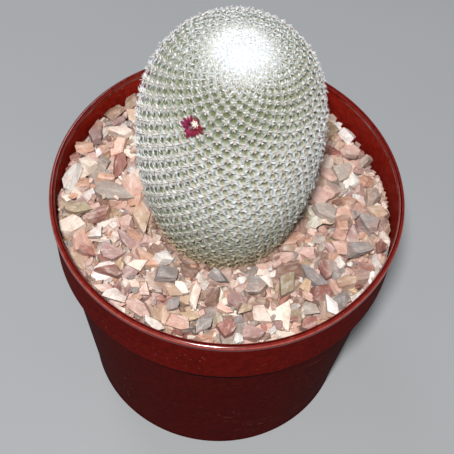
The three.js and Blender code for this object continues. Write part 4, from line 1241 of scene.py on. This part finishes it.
# Laying the stones.
class StoneHeap:
    """Stones laid one by one on a grid of heights, between the stem and the wall."""

    def __init__(self, random):
        self.random = random
        axis = np.arange(-GRID_HALF, GRID_HALF + GRID_STEP, GRID_STEP)
        self.axis = axis
        self.x, self.y = np.meshgrid(axis, axis, indexing="ij")
        self.target = stone_level(self.x, self.y)
        self.height = self.target - STONE_FLOOR_BELOW + random.uniform(-0.6, 0.6, self.x.shape)
        beyond_wall = np.hypot(self.x, self.y) > wall_radius(self.target) - STONE_CLEARANCE
        self.blocked = beyond_wall | (from_foot(self.x, self.y) < -STONE_CLEARANCE)
        self.wanted = self.target.copy()
        self.parts = []

    def window(self, x, y, reach):
        low_x, high_x = np.searchsorted(self.axis, [x - reach, x + reach])
        low_y, high_y = np.searchsorted(self.axis, [y - reach, y + reach])
        return slice(low_x, high_x), slice(low_y, high_y)

    def lie(self, x, y, reach):
        """The slope of the heap below a stone."""
        view = self.window(x, y, reach)
        height, blocked = self.height[view], self.blocked[view]
        dx, dy = self.x[view] - x, self.y[view] - y
        near = (np.hypot(dx, dy) < reach) & ~blocked
        if near.sum() < 6:
            return 0.0, 0.0
        terms = np.column_stack([dx[near], dy[near], np.ones(near.sum())])
        slope = np.linalg.lstsq(terms, height[near], rcond=None)[0]
        return float(np.clip(slope[0], -0.8, 0.8)), float(np.clip(slope[1], -0.8, 0.8))

    def lay(self, x, y, length, width, thickness, heading, tone, restless, limit=None):
        """Drops a stone at a place. Returns whether there was room for it."""
        random = self.random
        shape = stone_hull(length, width, thickness, random)
        normals, offsets = stone_planes(shape)
        slope_x, slope_y = self.lie(x, y, 0.45 * length)
        lean = rotation(heading, math.atan(slope_y) + random.normal(0, restless),
                        -math.atan(slope_x) + random.normal(0, restless))
        turned = normals @ lean.T
        view = self.window(x, y, 0.62 * length + 1)
        dx, dy = self.x[view] - x, self.y[view] - y
        flat = turned[:, 0, None, None] * dx + turned[:, 1, None, None] * dy
        with np.errstate(divide="ignore", invalid="ignore"):
            planes = (offsets[:, None, None] - flat) / turned[:, 2, None, None]
        top = planes[turned[:, 2] > 1e-4].min(axis=0)
        bottom = planes[turned[:, 2] < -1e-4].max(axis=0)
        covered = top > bottom
        blocked = self.blocked[view] & covered
        if covered.sum() < 4 or blocked.sum() > 0.03 * covered.sum():
            shape.free()
            return False
        lift = np.quantile((self.height[view] - bottom)[covered], LAID_ON)
        above = (lift + top[covered]).mean() - self.target[view][covered].mean()
        if limit is not None and above > limit:
            shape.free()
            return False
        points, faces = finished_stone(shape, random)
        tones = stone_shades(points, tone, random)
        own = points + random.uniform(-200, 200, 3)
        self.parts.append((points @ lean.T + [x, y, lift], faces, tones, own))
        self.height[view][covered] = np.maximum(self.height[view], lift + top)[covered]
        return True

    def neediest(self, blur):
        """The open place where the heap is furthest below its level."""
        need = np.where(self.blocked, -50, self.wanted - self.height)
        total = np.pad(need, (blur + 1, blur), mode="edge").cumsum(0).cumsum(1)
        wide = 2 * blur + 1
        left, right = total[:, :-wide], total[:, wide:]
        mean = right[wide:] - right[:-wide] - left[wide:] + left[:-wide]
        mean = mean / wide ** 2 + self.random.uniform(0, 0.8, need.shape)
        best = np.unravel_index(np.argmax(mean), mean.shape)
        return float(self.axis[best[0]]), float(self.axis[best[1]]), float(mean[best])


def one_of(items, random):
    return items[random.integers(len(items))]


def lay_chips(heap):
    """Small splinters that lie about on the stones."""
    random = heap.random
    for _ in range(CHIPS):
        radius = random.uniform(STEM_LOW_RADIUS, RIM_RADIUS - 3)
        x, y, _ = on_circle(random.uniform(0, 2 * math.pi), radius, 0)
        gap = heap.window(x, y, GRID_STEP)
        if (heap.target[gap] - heap.height[gap]).mean() < 1.4:
            continue
        length = random.uniform(*CHIP_LENGTHS)
        tone = stone_tone(one_of(CHIP_COLOURS, random), random)
        width, thickness = length * random.uniform(0.4, 0.8), length * random.uniform(0.25, 0.4)
        heap.lay(x, y, length, width, thickness, random.uniform(0, 2 * math.pi), tone, 0.3)


def grit_level(x, y):
    """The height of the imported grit, which rises to the stem's foot."""
    return stone_level(x, y) - lerp(*GRIT_BELOW, smoothstep(from_foot(x, y), 1, 6))


def lay_foot_chips(heap):
    """Small stones on the grit, close to the stem's foot."""
    random = heap.random
    heap.height = np.maximum(heap.height, grit_level(heap.x, heap.y))
    for _ in range(FOOT_CHIPS):
        length = random.uniform(*FOOT_CHIP_LENGTHS)
        turn = random.uniform(0, 2 * math.pi)
        radius = STEM_LOW_RADIUS + random.uniform(0.25, 0.5) * length + random.uniform(0, 1.5)
        x, y, _ = on_circle(turn, radius, 0)
        tone = stone_tone(one_of(FOOT_CHIP_COLOURS, random), random)
        width, thickness = length * random.uniform(0.5, 0.8), length * random.uniform(0.2, 0.32)
        heading = turn + math.pi / 2 + random.normal(0, 0.5)
        heap.lay(STEM_X + x, STEM_Y + y, length, width, thickness, heading, tone, 0.15, 0.4)


def stone_shades(points, tone, random):
    """A stone's colour at its points, with a stained side and a dusty side."""
    ways = unit(random.normal(0, 1, (2, 3)))
    size = np.abs(points).max()
    stain = srgb(*one_of(STONE_STAINS, random))
    stained = smoothstep(points @ ways[0] / size, 0.0, 0.7) * random.uniform(0, 0.6)
    dusty = smoothstep(points @ ways[1] / size, 0.1, 0.8) * random.uniform(0, 0.5)
    return tint(tint(tone, stain, stained), STONE_DUST, dusty)


def stone_tone(name, random):
    tone = srgb(*STONE_COLOURS[name][:3])
    grey = tone.mean() * random.normal(1, 0.02, 3)
    return np.clip(lerp(tone, grey, 0.16) * random.normal(1.12, 0.1), 0.02, 0.93)


def landmark_place(px, py):
    """Where the camera's ray through a pixel meets the stones."""
    place, right, up, back = camera_axes()
    half = FRAME_PIXELS / 2
    ray = -back + right * ((px - half) / FOCAL_PIXELS) - up * ((py - half) / FOCAL_PIXELS)
    height = STONE_LEVEL_AT_WALL
    for _ in range(6):
        meeting = place + ray * ((height - place.z) / ray.z)
        height = float(stone_level(meeting.x, meeting.y))
    return meeting.x, meeting.y


def fill_heap(heap):
    """Fills the heap up to its level, from large stones to small ones."""
    random = heap.random
    names = list(STONE_COLOURS)
    weights = np.array([colour[3] for colour in STONE_COLOURS.values()], float)
    weights /= weights.sum()
    for stage in FILL_ROUNDS:
        for _ in range(stage.tries):
            x, y, need = heap.neediest(stage.blur)
            if need < stage.enough:
                break
            length = random.uniform(*stage.lengths)
            width = length * random.uniform(0.45, 0.8)
            thickness = min(random.uniform(0.16, 0.3) * length, STONE_THICKEST)
            tone = stone_tone(names[random.choice(len(names), p=weights)], random)
            turn = random.uniform(0, 2 * math.pi)
            if not heap.lay(x, y, length, width, thickness, turn, tone, 0.2, stage.limit):
                heap.wanted[heap.window(x, y, 1.2)] -= 1.0


def stone_material():
    shader = Shader("crushed_stone")
    own = shader.attribute("Own", "Vector")
    clouds = shader.noise(own, 0.3, 4)
    layers = shader.noise(shader.stretched(own, (0.3, 0.9, 2.2)), 0.6, 5, 0.7)
    streaks = shader.noise(shader.stretched(own, (0.3, 1.8, 0.6)), 0.9, 5, 0.7)
    veins = shader.noise(shader.stretched(own, (1.5, 0.35, 1.0)), 1.3, 4, 0.7)
    grain = shader.noise(own, 4.0, 4, 0.7)
    colour = shader.darken(shader.attribute("Tone"), clouds, 0.38, 0.62, (0.84, 0.74, 0.7), 0.8)
    colour = shader.stain(colour, layers, 0.5, 0.66, srgb(250, 238, 230), 0.4)
    colour = shader.stain(colour, streaks, 0.55, 0.68, srgb(168, 116, 98), 0.45)
    colour = shader.darken(colour, veins, 0.6, 0.7, (0.5, 0.42, 0.4), 0.5)
    speckled = shader.spread(shader.noise(own, 0.05, 1), 0.42, 0.6, 0.25, 0.85)
    speckled = shader.times(shader.spread(grain, 0.35, 0.7), speckled)
    colour = shader.mix(speckled, colour, (0.6, 0.55, 0.53), "MULTIPLY")
    shift = shader.node("TexNoise", {"Vector": own, "Scale": 0.5}).outputs["Color"]
    cells = shader.cells(shader.mix(0.3, own, shift, "ADD"), 0.34, feature="DISTANCE_TO_EDGE")
    cracked = shader.spread(shader.noise(own, 0.2, 2), 0.5, 0.64, 0.0, 0.5)
    cracked = shader.times(shader.spread(cells, 0.05, 0.015), cracked)
    colour = shader.mix(cracked, colour, (0.5, 0.4, 0.37), "MULTIPLY")
    shader.set(Base_Color=colour, Roughness=shader.spread(grain, 0.2, 0.8, 0.5, 0.78))
    rough = shader.times(shader.noise(own, 1.4, 5, 0.65), 2.4)
    shader.bump(shader.calculate("ADD", rough, grain), 0.16)
    return shader.material


def make_stones(random):
    heap = StoneHeap(random)
    places = [landmark_place(mark.px, mark.py) for mark in LANDMARKS]
    for mark, (x, y) in zip(LANDMARKS, places):
        near = np.hypot(heap.x - x, heap.y - y) < 0.42 * mark.length
        heap.wanted[near] = np.minimum(heap.wanted[near], heap.target[near] - STONE_THICKEST)
    fill_heap(heap)
    for mark, (x, y) in zip(LANDMARKS, places):
        size = mark.length, mark.width, min(0.42 * mark.width + 1, STONE_THICKEST)
        tone, heading = stone_tone(mark.colour, random), math.radians(mark.heading)
        inward = Vector((STEM_X - x, STEM_Y - y)).normalized()
        if math.hypot(x - STEM_X, y - STEM_Y) < NEAR_STEM:
            inward = -inward
        for step in range(LANDMARK_STEPS):
            if heap.lay(x + inward.x * step, y + inward.y * step, *size, heading, tone, 0.08):
                break
    lay_chips(heap)
    lay_foot_chips(heap)
    material = stone_material()
    split = int(LOWER_SHARE * len(heap.parts))
    for title, parts in (("lower", heap.parts[:split]), ("upper", heap.parts[split:])):
        points, faces, tones = joined([part[:3] for part in parts])
        own = np.vstack([part[3] for part in parts])
        piece = add_mesh(f"stones_{title}", points, faces, material, tones, own, smooth=False)
        dress(piece, "stones", "stones")
    make_grit(random)


def grit_and_gap_shade_material():
    shader = Shader("grit")
    place = shader.place()
    cells = shader.cells(place, 700)
    # Painted shade in part: the dark browns stand for the shade in the gaps between the stones.
    colour = shader.mix(cells, srgb(150, 112, 96), srgb(84, 62, 52))
    colour = shader.stain(colour, shader.noise(place, 250, 4), 0.4, 0.65, srgb(186, 156, 140))
    shader.set(Base_Color=colour, Roughness=0.9)
    shader.bump(cells, 0.5)
    return shader.material


def make_grit(random):
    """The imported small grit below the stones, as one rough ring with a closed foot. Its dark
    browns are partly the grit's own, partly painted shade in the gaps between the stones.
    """
    turns = np.arange(GRIT_SPOKES) / GRIT_SPOKES * 2 * math.pi
    share = np.linspace(0, 1, GRIT_RINGS)[:, None]
    outer = wall_radius(GRIT_WALL_HEIGHT) - STONE_CLEARANCE
    radius = lerp(STEM_LOW_RADIUS - GRIT_UNDER_STEM, outer, share)
    x = STEM_X * (1 - share) + radius * np.cos(turns)
    y = STEM_Y * (1 - share) + radius * np.sin(turns)
    level = grit_level(x, y) + random.uniform(-GRIT_ROUGHNESS, GRIT_ROUGHNESS, x.shape)
    foot = np.full((2, GRIT_SPOKES), GRIT_FOOT_HEIGHT)
    rows = np.stack([x, y, level], axis=-1), np.stack([x[[0, -1]], y[[0, -1]], foot], axis=-1)
    base = level.size
    starts = [*range(0, base, GRIT_SPOKES), base + GRIT_SPOKES, base, 0]
    grit = add_mesh("stones_grit_and_gap_shade", np.vstack(rows).reshape(-1, 3), bands(starts, GRIT_SPOKES),
                    grit_and_gap_shade_material(), smooth=False)
    dress(grit, "stones", "stones")


# The soil stays as the CAD solid, seen only through the drain holes.
def dress_soil():
    shader = Shader("potting_soil")
    place = shader.place()
    crumbs = shader.noise(place, 420, 6, 0.7)
    fibres = shader.noise(shader.stretched(place, (1, 4, 1)), 300, 4)
    colour = shader.stain(srgb(46, 34, 25), crumbs, 0.35, 0.65, srgb(92, 72, 54))
    colour = shader.stain(colour, fibres, 0.62, 0.72, srgb(140, 112, 84), 0.6)
    shader.set(Base_Color=colour, Roughness=0.95)
    shader.bump(crumbs, 1.2)
    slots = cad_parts["soil"].data.materials
    slots.clear()
    slots.append(shader.material)


make_camera()
make_light()
make_floor()
make_pot()
dress_soil()
make_skin()
make_spines(np.random.default_rng(5))
make_flower()
make_stamens(np.random.default_rng(9))
make_stones(np.random.default_rng(21))
